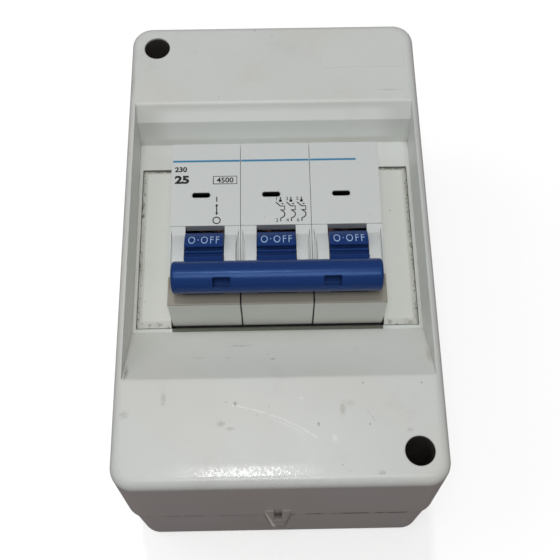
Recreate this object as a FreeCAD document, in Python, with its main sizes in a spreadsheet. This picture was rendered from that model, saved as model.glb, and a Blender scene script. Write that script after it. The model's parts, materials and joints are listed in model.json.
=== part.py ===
import FreeCAD, Part
import math
import os
import re

import Sketcher
from FreeCAD import Placement, Rotation, Vector

# Three-pole miniature circuit breaker in its surface-mounting enclosure.
# The enclosure lies on its back: X runs across, Y towards its upper end, Z out of the front.
# The origin is the centre of the back face. Breaker pieces are drawn in the frame of one pole:
# x from the pole's middle, y from the rail's middle, z from the rail's front face.

SIZES = {
    # enclosure shells
    "cover_front_width": 78.0,
    "cover_taper": 1.75,
    "cover_length": 128.8,
    "cover_corner": 5.5,
    "cover_wall": 2.2,
    "front_edge_round": 2.5,
    "crest_round": 1.6,
    "seam_height": 29.0,
    "side_step": 0.45,
    "end_step": 0.2,
    "base_corner": 5.5,
    "base_wall": 2.6,
    "back_wall": 2.2,
    "back_edge_round": 1.0,
    "tongue_height": 3.0,
    "tongue_wall": 1.3,
    "tongue_gap": 0.3,
    # recess in the cover and its window
    "recess_rim": 1.8,
    "recess_depth": 12.1,
    "floor_thickness": 1.5,
    "upper_sill": 7.95,
    "upper_foot_run": 2.0,
    "upper_foot_rise": 8.3,
    "upper_head_run": 3.6,
    "lower_sill": 0.95,
    "lower_ramp_run": 16.2,
    "window_side_sill": 1.05,
    "nose_gap": 0.8,
    "shoulder_gap": 0.2,
    # blanking plates beside the breaker
    "blank_side_gap": 0.45,
    "blank_edge_gap": 0.15,
    "blank_top_gap": 0.55,
    "blank_pad_rise": 1.2,
    "blank_pad_inset": 1.5,
    "blank_leg": 1.2,
    "blank_hook": 0.7,
    # cover screws, their wells and pillars
    "screw_side_inset": 8.75,
    "screw_end_inset": 7.65,
    "well_diameter": 7.0,
    "pillar_wall": 1.5,
    "well_bottom": 4.0,
    "cover_screw_head": 6.4,
    "cover_screw_head_height": 2.6,
    "cover_screw_shank": 3.8,
    "cover_screw_length": 18.0,
    "cover_screw_cross": 4.5,
    "screw_play": 0.1,
    "base_pillar": 9.0,
    # sealing lugs at the lower end
    "lug_offset": 0.75,
    "lug_root": 8.8,
    "lug_tip": 3.4,
    "lug_reach": 2.6,
    "lug_thickness": 3.5,
    "lug_rise": 7.0,
    "lug_tip_drop": 2.0,
    "lug_slot_width": 2.0,
    "lug_slot_length": 1.7,
    "lug_slot_inset": 2.0,
    "lug_round": 1.0,
    # wall fixings and rear cable entries
    "fixing_across": 40.0,
    "fixing_end_inset": 7.2,
    "fixing_diameter": 4.6,
    "entry_width": 24.0,
    "entry_height": 11.0,
    "entry_corner": 4.9,
    "entry_end_inset": 15.2,
    # mounting rail
    "rail_width": 35.0,
    "rail_height": 7.5,
    "rail_thickness": 1.0,
    "rail_flange": 4.0,
    "rail_end_gap": 1.7,
    "rail_screw_inset": 5.5,
    "rail_slot_width": 6.2,
    "rail_slot_length": 10.0,
    "rail_boss": 5.6,
    "rail_screw_head": 8.4,
    "rail_screw_head_height": 2.2,
    "rail_screw_shank": 2.8,
    # breaker body
    "breaker_offset": 1.75,
    "pitch": 17.8,
    "pole_width": 17.7,
    "case_height": 80.0,
    "shoulder": 44.0,
    "nose_height": 45.0,
    "nose_front": 60.0,
    "case_tail": 5.0,
    "case_wall": 1.5,
    "side_wall": 1.4,
    "lid_thickness": 1.3,
    "lid_gap": 0.1,
    "label_step": 0.3,
    "label_drop": 1.3,
    "lintel_depth": 2.8,
    "rail_play": 0.3,
    "lip_reach": 2.5,
    "lip_thickness": 2.3,
    "indicator_width": 4.6,
    "indicator_height": 1.5,
    "indicator_corner": 0.65,
    "indicator_offset": 1.1,
    "indicator_rise": 7.4,
    # rivets through the three poles
    "rivet_diameter": 2.0,
    "rivet_head": 3.6,
    "rivet_head_depth": 0.6,
    "rivet_play": 0.1,
    "rivet_post": 4.8,
    "rivet_sink": 0.6,
    # toggles and tie bar
    "pivot_drop": 10.5,
    "pivot_depth": 5.0,
    "drum_diameter": 14.6,
    "drum_width": 9.5,
    "band_diameter": 17.8,
    "band_top": 5.7,
    "band_foot": 0.7,
    "band_groove_inset": 5.25,
    "band_groove_width": 0.95,
    "band_groove_depth": 1.9,
    "toggle_gap": 0.15,
    "cheek_gap": 0.3,
    "cheek_inset": 1.1,
    "cheek_drop": 3.5,
    "cheek_sink": 0.5,
    "cheek_groove_width": 0.65,
    "cheek_groove_depth": 0.8,
    "cheek_groove_reach": 8.15,
    "cheek_groove_taper": 5.0,
    "slot_tail": 9.2,
    "swing": 71.4,
    "bar_diameter": 7.8,
    "bar_gap": 0.32,
    "bar_overhang": 2.6,
    "bar_round": 0.7,
    "bar_window_width": 4.2,
    "bar_window_height": 2.6,
    "bar_window_spacing": 26.3,
    "bar_window_shift": 0.6,
    "bar_window_depth": 3.4,
    "lever_thickness": 5.4,
    "lever_end": 11.4,
    "ledge_depth": 1.5,
    "ledge_height": 7.7,
    "ledge_groove": 0.55,
    "pin_diameter": 2.5,
    "pin_play": 0.05,
    "spring_wire": 0.8,
    # terminals
    "terminal_inset": 8.5,
    "clamp_width": 9.2,
    "clamp_depth": 9.0,
    "clamp_wall": 1.4,
    "clamp_bottom": 12.6,
    "mouth_height": 10.3,
    "clamp_head": 3.5,
    "clamp_travel": 5.4,
    "screw_diameter": 4.8,
    "screw_head_diameter": 6.0,
    "screw_head_height": 2.8,
    "screw_slot": 0.9,
    "shelf_thickness": 1.0,
    "running_gap": 0.05,
    "part_gap": 0.3,
    "terminal_bar_width": 5.6,
    "terminal_bar_thickness": 1.7,
    # contacts, arc chamber and release
    "arm_pivot_height": 40.0,
    "arm_pivot_offset": 3.0,
    "arm_length": 16.0,
    "arm_width": 4.0,
    "arm_thickness": 2.2,
    "arm_hub": 5.0,
    "arm_pin": 2.0,
    "contact_diameter": 3.2,
    "contact_rise": 1.0,
    "arm_swing": 10.0,
    "arc_plate_count": 7.0,
    "arc_plate_thickness": 0.9,
    "arc_plate_pitch": 2.0,
    "arc_plate_width": 10.8,
    "arc_plate_depth": 15.0,
    "arc_cheek_thickness": 0.7,
    "coil_diameter": 10.4,
    "coil_length": 9.0,
    "coil_bore": 4.6,
    "coil_wire": 1.5,
    "coil_height": 33.0,
    "yoke_thickness": 1.4,
    "plunger_diameter": 2.6,
    "plunger_travel": 2.2,
    "lever_pin": 1.6,
    "lever_width": 2.6,
    "bimetal_thickness": 0.9,
    "bimetal_width": 5.0,
    "bimetal_length": 28.0,
    "setting_screw": 2.2,
    "setting_screw_length": 7.4,
    "braid_diameter": 1.6,
    # rail clips
    "clip_width": 8.4,
    "clip_thickness": 2.3,
    "clip_play": 0.25,
    "clip_tail": 2.6,
    "clip_travel": 3.4,
    "clip_stop": 2.4,
}

POLES = (1, 2, 3)
ENDS = (1, -1)
SIDES = (-1, 1)
BEYOND = 1  # how far a cut runs past the face it opens
TOLERANCE = 1e-3

doc = FreeCAD.newDocument("circuit_breaker")
nodes = []


class Size:
    """A length or an angle: its present value and the sheet formula that gives it."""

    def __init__(self, value, formula):
        self.value = float(value)
        self.formula = formula

    def __add__(self, other):
        other = as_size(other)
        return Size(self.value + other.value, f"({self.formula} + {other.formula})")

    def __sub__(self, other):
        other = as_size(other)
        return Size(self.value - other.value, f"({self.formula} - {other.formula})")

    def __mul__(self, other):
        other = as_size(other)
        return Size(self.value * other.value, f"({self.formula} * {other.formula})")

    def __truediv__(self, other):
        other = as_size(other)
        return Size(self.value / other.value, f"({self.formula} / {other.formula})")

    def __neg__(self):
        return Size(-self.value, f"(0 - {self.formula})")

    def __radd__(self, other):
        return as_size(other) + self

    def __rsub__(self, other):
        return as_size(other) - self

    def __rmul__(self, other):
        return as_size(other) * self


def as_size(number):
    """A plain number as a Size, so that the two mix in arithmetic."""
    if isinstance(number, Size):
        return number
    return Size(number, f"({number})")


def root(number):
    return Size(math.sqrt(number.value), f"sqrt{number.formula}")


def sine(angle):
    return Size(math.sin(math.radians(angle.value)), f"sin({angle.formula})")


class Dimensions:
    """The sheet's cells, read as attributes."""

    def __init__(self, table):
        sheet = doc.addObject("Spreadsheet::Sheet", "sizes")
        for row, (name, value) in enumerate(table.items(), start=1):
            sheet.set(f"A{row}", name)
            sheet.set(f"B{row}", str(value))
            sheet.setAlias(f"B{row}", name)
            setattr(self, name, Size(value, f"sizes.{name}"))


s = Dimensions(SIZES)
doc.recompute()


# Drawing helpers ---------------------------------------------------------------------------

PLANES = {"XY": ("XY_Plane", 1), "XZ": ("XZ_Plane", -1), "YZ": ("YZ_Plane", 1)}


def bind(thing, name, size):
    """Bind one property of an object to the sheet."""
    thing.setExpression(name, as_size(size).formula)


def place(thing, x=0, y=0, z=0, tilt=None):
    """Place an object; tilt turns it about X, from +Z towards -Y."""
    where = [as_size(value) for value in (x, y, z)]
    turn = Rotation(Vector(1, 0, 0), tilt.value if tilt else 0)
    thing.Placement = Placement(Vector(*[value.value for value in where]), turn)
    for axis, value in zip("xyz", where):
        bind(thing, f"Placement.Base.{axis}", value)
    if tilt:
        bind(thing, "Placement.Rotation.Angle", tilt)
    return thing


def rect(u_low, u_high, v_low, v_high, corner=None):
    """The four corners of a rectangle, rounded if a corner radius is given."""
    corners = [(u_low, v_low), (u_high, v_low), (u_high, v_high), (u_low, v_high)]
    if corner is None:
        return corners
    return [(u, v, corner) for u, v in corners]


def centred(u_width, v_width, corner=None, u=0, v=0):
    """A rectangle about a centre."""
    return rect(u - u_width / 2, u + u_width / 2, v - v_width / 2, v + v_width / 2, corner)


def circle(u, v, diameter):
    return ("circle", as_size(u), as_size(v), as_size(diameter))


def add_circle(sketch, loop):
    _, u, v, diameter = loop
    ring = Part.Circle(Vector(u.value, v.value, 0), Vector(0, 0, 1), diameter.value / 2)
    edge = sketch.addGeometry(ring, False)
    first = sketch.ConstraintCount
    sketch.addConstraint([
        Sketcher.Constraint("DistanceX", -1, 1, edge, 3, u.value),
        Sketcher.Constraint("DistanceY", -1, 1, edge, 3, v.value),
        Sketcher.Constraint("Diameter", edge, diameter.value),
    ])
    for step, size in enumerate((u, v, diameter)):
        bind(sketch, f"Constraints[{first + step}]", size)


def tangent_points(before, corner, after, radius):
    """Where an arc of this radius touches the two lines that meet at a corner."""
    arms = []
    for other in (before, after):
        arms.append((other - corner).normalize())
    half = arms[0].getAngle(arms[1]) / 2
    reach = radius / math.tan(half)
    centre = corner + (arms[0] + arms[1]).normalize() * (radius / math.sin(half))
    return corner + arms[0] * reach, corner + arms[1] * reach, centre


def add_polygon(sketch, corners):
    """A closed outline of straight lines; a corner with a radius becomes a tangent arc."""
    count = len(corners)
    points = [Vector(as_size(c[0]).value, as_size(c[1]).value, 0) for c in corners]
    radii = [as_size(c[2]) if len(c) > 2 else None for c in corners]
    starts = list(points)
    ends = list(points)
    centres = {}
    for i, radius in enumerate(radii):
        if radius:
            found = tangent_points(points[i - 1], points[i], points[(i + 1) % count], radius.value)
            ends[i], starts[i], centres[i] = found
    lines = []
    for i in range(count):
        line = Part.LineSegment(starts[i], ends[(i + 1) % count])
        lines.append(sketch.addGeometry(line, False))
    rules = []
    bound = []
    for i, radius in enumerate(radii):
        before = lines[i - 1]
        after = lines[i]
        if radius:
            middle = centres[i]
            rim = middle + (points[i] - middle).normalize() * radius.value
            arc = sketch.addGeometry(Part.Arc(ends[i], rim, starts[i]), False)
            shape = sketch.Geometry[arc]
            first_end = 1 if shape.StartPoint.distanceToPoint(ends[i]) < 1e-6 else 2
            rules.append(Sketcher.Constraint("Tangent", before, 2, arc, first_end))
            rules.append(Sketcher.Constraint("Tangent", after, 1, arc, 3 - first_end))
            bound.append((len(rules), radius))
            rules.append(Sketcher.Constraint("Radius", arc, radius.value))
            mark = sketch.addGeometry(Part.Point(points[i]), True)
            rules.append(Sketcher.Constraint("PointOnObject", mark, 1, before))
            rules.append(Sketcher.Constraint("PointOnObject", mark, 1, after))
            held = mark
        else:
            rules.append(Sketcher.Constraint("Coincident", before, 2, after, 1))
            held = after
        for axis, value, size in zip("XY", points[i], corners[i][:2]):
            bound.append((len(rules), as_size(size)))
            rules.append(Sketcher.Constraint(f"Distance{axis}", -1, 1, held, 1, value))
    first = sketch.ConstraintCount
    sketch.addConstraint(rules)
    for place_in_list, size in bound:
        bind(sketch, f"Constraints[{first + place_in_list}]", size)


def outline(body, plane, level, loops):
    """A sketch on one of the body's own origin planes, at a level along that plane's axis."""
    role, direction = PLANES[plane]
    sketch = body.newObject("Sketcher::SketchObject", "Outline")
    support = next(item for item in body.Origin.OriginFeatures if item.Role == role)
    sketch.AttachmentSupport = [(support, "")]
    sketch.MapMode = "FlatFace"
    offset = as_size(level) * direction
    sketch.AttachmentOffset = Placement(Vector(0, 0, offset.value), Rotation())
    bind(sketch, "AttachmentOffset.Base.z", offset)
    for loop in loops:
        if loop[0] == "circle":
            add_circle(sketch, loop)
        else:
            add_polygon(sketch, loop)
    return sketch


def new_body():
    return doc.addObject("PartDesign::Body", "Body")


def pad(body, plane, low, high, *loops):
    """Add a prism between two levels along the plane's axis."""
    low = as_size(low)
    high = as_size(high)
    direction = PLANES[plane][1]
    sketch = outline(body, plane, low if direction > 0 else high, loops)
    feature = body.newObject("PartDesign::Pad", "Pad")
    feature.Profile = sketch
    feature.Length = high.value - low.value
    bind(feature, "Length", high - low)
    return feature


def cut(body, plane, low, high, *loops):
    """Take a prism away between two levels along the plane's axis."""
    low = as_size(low)
    high = as_size(high)
    direction = PLANES[plane][1]
    sketch = outline(body, plane, high if direction > 0 else low, loops)
    feature = body.newObject("PartDesign::Pocket", "Pocket")
    feature.Profile = sketch
    feature.Length = high.value - low.value
    bind(feature, "Length", high - low)
    return feature


def turn(body, plane, angle, loop):
    """Turn an outline about its sketch's horizontal axis."""
    sketch = outline(body, plane, 0, [loop])
    feature = body.newObject("PartDesign::Revolution", "Revolution")
    feature.Profile = sketch
    feature.ReferenceAxis = (sketch, ["H_Axis"])
    feature.Angle = angle
    return feature


def fillet(body, feature, radius, wanted):
    """Round the edges for which wanted(edge) holds."""
    doc.recompute()
    names = [f"Edge{i}" for i, edge in enumerate(feature.Shape.Edges, start=1) if wanted(edge)]
    if not names:
        raise RuntimeError(f"no edges to round on {feature.Name}")
    rounded = body.newObject("PartDesign::Fillet", "Fillet")
    rounded.Base = (feature, names)
    rounded.Radius = radius.value
    bind(rounded, "Radius", radius)
    return rounded


def flat_at(axis, level):
    """A test for edges that lie at one level along an axis."""
    low = axis + "Min"
    high = axis + "Max"

    def test(edge):
        box = edge.BoundBox
        ends = (getattr(box, low), getattr(box, high))
        return all(abs(end - level.value) < TOLERANCE for end in ends)

    return test


def keep(thing, label):
    """Give a sub-part the name of its file and put it on the list to be written."""
    thing.Label = label
    nodes.append(thing)
    return thing


def group(label, members):
    """Like pieces that share one node, each still a solid of its own."""
    compound = doc.addObject("Part::Compound", "Group")
    compound.Links = members
    return keep(compound, label)


def block(x, y, z, at=(0, 0, 0)):
    """A Part::Box given by (low, high) pairs in a pole's frame; at shifts it into place."""
    box = doc.addObject("Part::Box", "Block")
    for name, (low, high) in zip(("Length", "Width", "Height"), (x, y, z)):
        size = as_size(high) - as_size(low)
        setattr(box, name, size.value)
        bind(box, name, size)
    return place(box, *[shift + as_size(pair[0]) for shift, pair in zip(at, (x, y, z))])


# Shared places -----------------------------------------------------------------------------

front_half = s.cover_front_width / 2
seam_half = front_half + s.cover_taper
cover_end = s.cover_length / 2
base_half = seam_half - s.side_step
base_end = cover_end - s.end_step
recess_half = front_half - s.recess_rim
window_half = recess_half - s.window_side_sill
screw_x = seam_half - s.screw_side_inset
screw_y = cover_end - s.screw_end_inset
fixing_y = base_end - s.fixing_end_inset
entry_y = base_end - s.entry_end_inset
rail_end = base_half - s.base_wall - s.rail_end_gap
rail_screw_x = rail_end - s.rail_screw_inset
rail_face = s.back_wall + s.rail_height
floor_back = rail_face + s.shoulder + s.shoulder_gap
floor_front = floor_back + s.floor_thickness
plateau = floor_front + s.recess_depth
window_height = s.nose_height + s.nose_gap * 2
window_top = s.breaker_offset + window_height / 2
window_bottom = s.breaker_offset - window_height / 2
case_end = s.case_height / 2
nose_half = s.nose_height / 2
case_side = s.pole_width / 2
cavity_far = -(case_side - s.side_wall)
cavity_near = case_side - s.lid_thickness
pivot_z = s.nose_front - s.pivot_depth
drum_radius = s.drum_diameter / 2
sweep_radius = drum_radius + s.cheek_gap
bar_throw = sweep_radius + s.bar_gap + s.bar_diameter / 2
terminal_y = case_end - s.terminal_inset
mouth_bottom = s.clamp_bottom + s.clamp_wall
mouth_top = mouth_bottom + s.mouth_height
bar_top = mouth_top + s.terminal_bar_thickness
clamp_ceiling = bar_top + s.part_gap
clamp_top = clamp_ceiling + s.clamp_head
shelf_bottom = clamp_top + s.clamp_travel + s.part_gap
shelf_top = shelf_bottom + s.shelf_thickness
rivet_inset = s.case_wall + s.rivet_post / 2 - s.rivet_sink
rivet_places = (
    (case_end - rivet_inset, rivet_inset),
    (-case_end + rivet_inset, rivet_inset),
    (nose_half - rivet_inset, s.nose_front - rivet_inset),
    (-nose_half + rivet_inset, s.shoulder),
)
setting_top = s.case_wall + s.rivet_post
coil_start = nose_half - s.case_wall - s.yoke_thickness - s.part_gap - s.coil_length
coil_end = coil_start + s.coil_length
lever_y = coil_start - s.yoke_thickness - s.part_gap * 2 - s.lever_width / 3
lever_z = s.arm_pivot_height + s.arm_hub
contact_y = s.arm_thickness / 2 + s.contact_rise - s.arm_pivot_offset
contact_z = s.arm_pivot_height - s.arm_length
chute_front = contact_y + s.arm_thickness
leg_y = -(nose_half - s.case_wall - s.part_gap)
setting_x = cavity_near - s.lid_gap - s.setting_screw
setting_y = -(nose_half + s.setting_screw)
clip_top = -(s.rail_thickness + s.rail_play)
clip_stop_y = -(case_end + s.rail_width / 2) / 2


def pole_x(pole):
    return s.pitch * (pole - 2)


def in_pole(thing, pole, y=0, z=0, x=0, tilt=None):
    """Move a piece drawn in a pole's frame to that pole."""
    return place(thing, pole_x(pole) + x, s.breaker_offset + y, rail_face + z, tilt)


def per_pole(label, make):
    """One node that holds the same piece in each of the three poles."""
    return group(label, [make(pole) for pole in POLES])


# Enclosure ---------------------------------------------------------------------------------

def base_box():
    body = new_body()
    shell = pad(body, "XY", 0, s.seam_height, centred(base_half * 2, base_end * 2, s.base_corner))
    fillet(body, shell, s.back_edge_round, flat_at("Z", as_size(0)))
    inner_width = (base_half - s.base_wall) * 2
    inner_length = (base_end - s.base_wall) * 2
    inner_corner = s.base_corner - s.base_wall / 2
    cut(body, "XY", s.back_wall, s.seam_height, centred(inner_width, inner_length, inner_corner))
    tongue_inset = s.cover_wall + s.tongue_gap
    tongue_width = (seam_half - tongue_inset) * 2
    tongue_length = (cover_end - tongue_inset) * 2
    pad(
        body, "XY", s.seam_height - s.tongue_height, s.seam_height + s.tongue_height,
        centred(tongue_width, tongue_length, inner_corner + s.tongue_gap),
        centred(tongue_width - s.tongue_wall * 2, tongue_length - s.tongue_wall * 2, inner_corner / 2),
    )
    for side in SIDES:
        x = screw_x * side
        y = screw_y * -side
        pad(body, "XY", s.back_wall / 2, s.seam_height, circle(x, y, s.base_pillar))
        depth = s.cover_screw_length + s.part_gap
        top = s.seam_height
        cut(body, "XY", top - depth, top, circle(x, y, s.cover_screw_shank + s.running_gap * 2))
    for side in SIDES:
        x = rail_screw_x * side
        y = s.breaker_offset
        boss_top = s.back_wall + s.rail_thickness - s.screw_play
        pad(body, "XY", s.back_wall / 2, boss_top, circle(x, y, s.rail_boss))
        cut(body, "XY", s.back_wall / 4, boss_top, circle(x, y, s.rail_screw_shank + s.running_gap * 2))
    for end in ENDS:
        entry = centred(s.entry_width, s.entry_height, s.entry_corner, v=entry_y * end)
        cut(body, "XY", -BEYOND, s.back_wall + BEYOND, entry)
        for side in SIDES:
            hole = circle(s.fixing_across / 2 * side, fixing_y * end, s.fixing_diameter)
            cut(body, "XY", -BEYOND, s.back_wall + BEYOND, hole)
    lug(body, s.seam_height - s.lug_thickness, s.seam_height, base_end)
    keep(place(body), "base_box")


def lug(body, low, high, wall):
    """A sealing lug that stands out of the lower end wall, under a steep ramp that both halves share."""
    x = -s.lug_offset
    root_y = -(wall - s.base_wall / 2)
    tip_y = -(cover_end + s.lug_reach)
    pad(body, "XY", low, high, [
        (x - s.lug_tip / 2, tip_y),
        (x + s.lug_tip / 2, tip_y),
        (x + s.lug_root / 2, root_y),
        (x - s.lug_root / 2, root_y),
    ])
    ramp_top = s.seam_height + s.lug_rise
    ramp_foot = s.seam_height - s.lug_tip_drop
    ramp = [(-cover_end, ramp_top), (tip_y - BEYOND, ramp_top), (tip_y - BEYOND, ramp_foot), (tip_y, ramp_foot)]
    sloped = cut(body, "YZ", x - s.lug_root, x + s.lug_root, ramp)

    def ramp_side(edge):
        box = edge.BoundBox
        return min(box.XLength, box.YLength, box.ZLength) > s.running_gap.value

    fillet(body, sloped, s.lug_round, ramp_side)
    slot = centred(s.lug_slot_width, s.lug_slot_length, u=x, v=tip_y + s.lug_slot_inset)
    cut(body, "XY", low - BEYOND, high + BEYOND, slot)


def front_cover():
    body = new_body()
    shell = pad(body, "XZ", -cover_end, cover_end, [
        (-seam_half, s.seam_height), (seam_half, s.seam_height),
        (front_half, plateau), (-front_half, plateau),
    ])

    def upright(edge):
        return edge.BoundBox.ZLength > (plateau - s.seam_height).value - TOLERANCE

    cornered = fillet(body, shell, s.cover_corner, upright)
    fillet(body, cornered, s.front_edge_round, flat_at("Z", plateau))
    over = plateau + BEYOND
    foot_y = window_top + s.upper_sill
    break_y = foot_y + s.upper_foot_run
    break_z = floor_front + s.upper_foot_rise
    crest_y = break_y + s.upper_head_run
    low_foot_y = window_bottom - s.lower_sill
    low_crest_y = low_foot_y - s.lower_ramp_run
    recess = cut(body, "YZ", -recess_half, recess_half, [
        (foot_y, floor_front),
        (break_y, break_z),
        (crest_y, plateau),
        (crest_y, over),
        (low_crest_y, over),
        (low_crest_y, plateau),
        (low_foot_y, floor_front),
    ])

    def on_crest(edge):
        box = edge.BoundBox
        across = box.XLength > recess_half.value and abs(box.YMin) < crest_y.value + TOLERANCE
        return across and flat_at("Z", plateau)(edge)

    fillet(body, recess, s.crest_round, on_crest)
    draft = (seam_half - front_half) / (plateau - s.seam_height)
    inner_half = seam_half - s.cover_wall
    high_half = inner_half - draft * (floor_back - s.seam_height)
    end_y = cover_end - s.cover_wall
    hollow = cut(body, "XZ", -end_y, end_y, [
        (-inner_half, s.seam_height), (inner_half, s.seam_height),
        (high_half, floor_back), (-high_half, floor_back),
    ])

    def inner_upright(edge):
        box = edge.BoundBox
        tall = abs(box.ZLength - (floor_back - s.seam_height).value) < TOLERANCE
        return tall and abs(box.YMin) < end_y.value + TOLERANCE

    fillet(body, hollow, s.cover_corner - s.cover_wall, inner_upright)
    chamber = front_half - s.cover_wall
    ceiling = plateau - s.cover_wall
    cut(body, "YZ", -chamber, chamber, [
        (foot_y + s.cover_wall, floor_back),
        (end_y, floor_back),
        (end_y, ceiling),
        (crest_y + s.cover_wall / 2, ceiling),
        (break_y + s.cover_wall, break_z),
    ])
    rise = plateau - floor_front
    slope = root(rise * rise + s.lower_ramp_run * s.lower_ramp_run)
    shift = s.cover_wall * slope / rise
    reach = s.lower_ramp_run / rise
    cut(body, "YZ", -chamber, chamber, [
        (low_foot_y - shift + reach * s.floor_thickness, floor_back),
        (low_crest_y - shift + reach * s.cover_wall, ceiling),
        (-end_y, ceiling),
        (-end_y, floor_back),
    ])
    window = centred(window_half * 2, window_height, v=s.breaker_offset)
    cut(body, "XY", floor_back - BEYOND, floor_front + BEYOND, window)
    well_floor = s.seam_height + s.well_bottom
    for side in SIDES:
        x = screw_x * side
        y = screw_y * -side
        pillar = circle(x, y, s.well_diameter + s.pillar_wall * 2)
        pad(body, "XY", s.seam_height + s.tongue_height + s.tongue_gap, ceiling + s.cover_wall / 2, pillar)
        pad(body, "XY", s.seam_height, s.seam_height + s.well_bottom, circle(x, y, s.well_diameter))
        cut(body, "XY", well_floor, over, circle(x, y, s.well_diameter))
        shank_hole = circle(x, y, s.cover_screw_shank + s.screw_play * 2)
        cut(body, "XY", s.seam_height - BEYOND, well_floor + BEYOND, shank_hole)
    lug(body, s.seam_height, s.seam_height + s.lug_rise, cover_end)
    keep(place(body), "front_cover")


def blanking_plate(side, label):
    """A half-module blank that closes the window beside the breaker."""
    body = new_body()
    inner = s.pitch + case_side + s.blank_side_gap
    outer = window_half - s.blank_edge_gap
    low = window_bottom + s.blank_edge_gap
    high = window_top - s.blank_top_gap

    def across(near, far, v_low, v_high):
        if side > 0:
            return rect(near, far, v_low, v_high)
        return rect(-far, -near, v_low, v_high)

    pad(body, "XY", floor_back, floor_front, across(inner, outer, low, high))
    inset = s.blank_pad_inset
    front = floor_front + s.blank_pad_rise
    middle = floor_front - s.floor_thickness / 2
    near, far = sorted((inner * side, outer * side), key=lambda size: size.value)
    raised = [(low, middle), (high, middle), (high, floor_front), (high - inset, front),
              (low + inset, front), (low, floor_front)]
    pad(body, "YZ", near, far, raised)
    bevel = [((outer - inset) * side, front), (outer * side, floor_front), (outer * side, front + BEYOND),
             ((outer - inset) * side, front + BEYOND)]
    cut(body, "XZ", low - BEYOND, high + BEYOND, bevel)
    hook_top = floor_back - s.shoulder_gap
    hook_bottom = hook_top - s.blank_leg
    leg_low = across(inner + inset, outer - inset, low, low + s.blank_leg)
    leg_high = across(inner + inset, outer - inset, high - s.blank_leg, high)
    hook_low = across(inner + inset, outer - inset, low - s.blank_hook, low + s.blank_leg)
    hook_end = window_top - s.blank_edge_gap + s.blank_hook
    hook_high = across(inner + inset, outer - inset, high - s.blank_leg, hook_end)
    for leg, hook in ((leg_low, hook_low), (leg_high, hook_high)):
        pad(body, "XY", hook_bottom, floor_back + s.floor_thickness / 2, leg)
        pad(body, "XY", hook_bottom, hook_top, hook)
    keep(place(body), label)


def screw(shank, length, head, head_height, slot):
    """A slotted screw that points down, with its head's underside at the local origin."""
    body = new_body()
    pad(body, "XY", 0, head_height, circle(0, 0, head))
    pad(body, "XY", -length, head_height / 2, circle(0, 0, shank))
    cut(body, "XY", head_height / 2, head_height + BEYOND, centred(head * 2, slot))
    return body


def cover_screws():
    for label, side in (("upper", -1), ("lower", 1)):
        part = screw(s.cover_screw_shank, s.cover_screw_length, s.cover_screw_head,
                     s.cover_screw_head_height, s.screw_slot)
        cross = s.cover_screw_head_height
        cut(part, "XY", cross / 2, cross + BEYOND, centred(s.screw_slot, s.cover_screw_cross))
        x = screw_x * side
        y = screw_y * -side
        keep(place(part, x, y, s.seam_height + s.well_bottom + s.screw_play), f"cover_screw_{label}")


def din_rail():
    body = new_body()
    half = s.rail_width / 2
    leg = half - s.rail_flange
    wall = s.rail_thickness
    front = rail_face
    back = s.back_wall
    profile = [
        (-half, front), (-half, front - wall), (-leg, front - wall), (-leg, back),
        (leg, back), (leg, front - wall), (half, front - wall), (half, front),
        (leg - wall, front), (leg - wall, back + wall), (-(leg - wall), back + wall),
        (-(leg - wall), front),
    ]
    middle = [(s.breaker_offset + y, z) for y, z in profile]
    pad(body, "YZ", -rail_end, rail_end, middle)
    for side in SIDES:
        x = rail_screw_x * side
        slot = centred(s.rail_slot_length, s.rail_slot_width, u=x, v=s.breaker_offset)
        cut(body, "XY", back - BEYOND, back + wall + BEYOND, slot)
    keep(place(body), "din_rail")


def rail_screws():
    members = []
    for side in SIDES:
        length = s.rail_thickness + s.back_wall / 2
        part = screw(s.rail_screw_shank, length, s.rail_screw_head, s.rail_screw_head_height, s.screw_slot)
        x = rail_screw_x * side
        members.append(place(part, x, s.breaker_offset, s.back_wall + s.rail_thickness))
    group("rail_screws", members)


# Breaker shells ----------------------------------------------------------------------------

def cavity_loop(inset):
    """The inside of a pole's case, drawn smaller by an inset."""
    wall = s.case_wall + inset
    end = case_end - wall
    nose = nose_half - wall
    return [
        (-end, wall), (end, wall), (end, s.shoulder - wall), (nose, s.shoulder - wall),
        (nose, s.nose_front - wall), (-nose, s.nose_front - wall),
        (-nose, s.shoulder - wall), (-end, s.shoulder - wall),
    ]


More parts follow.
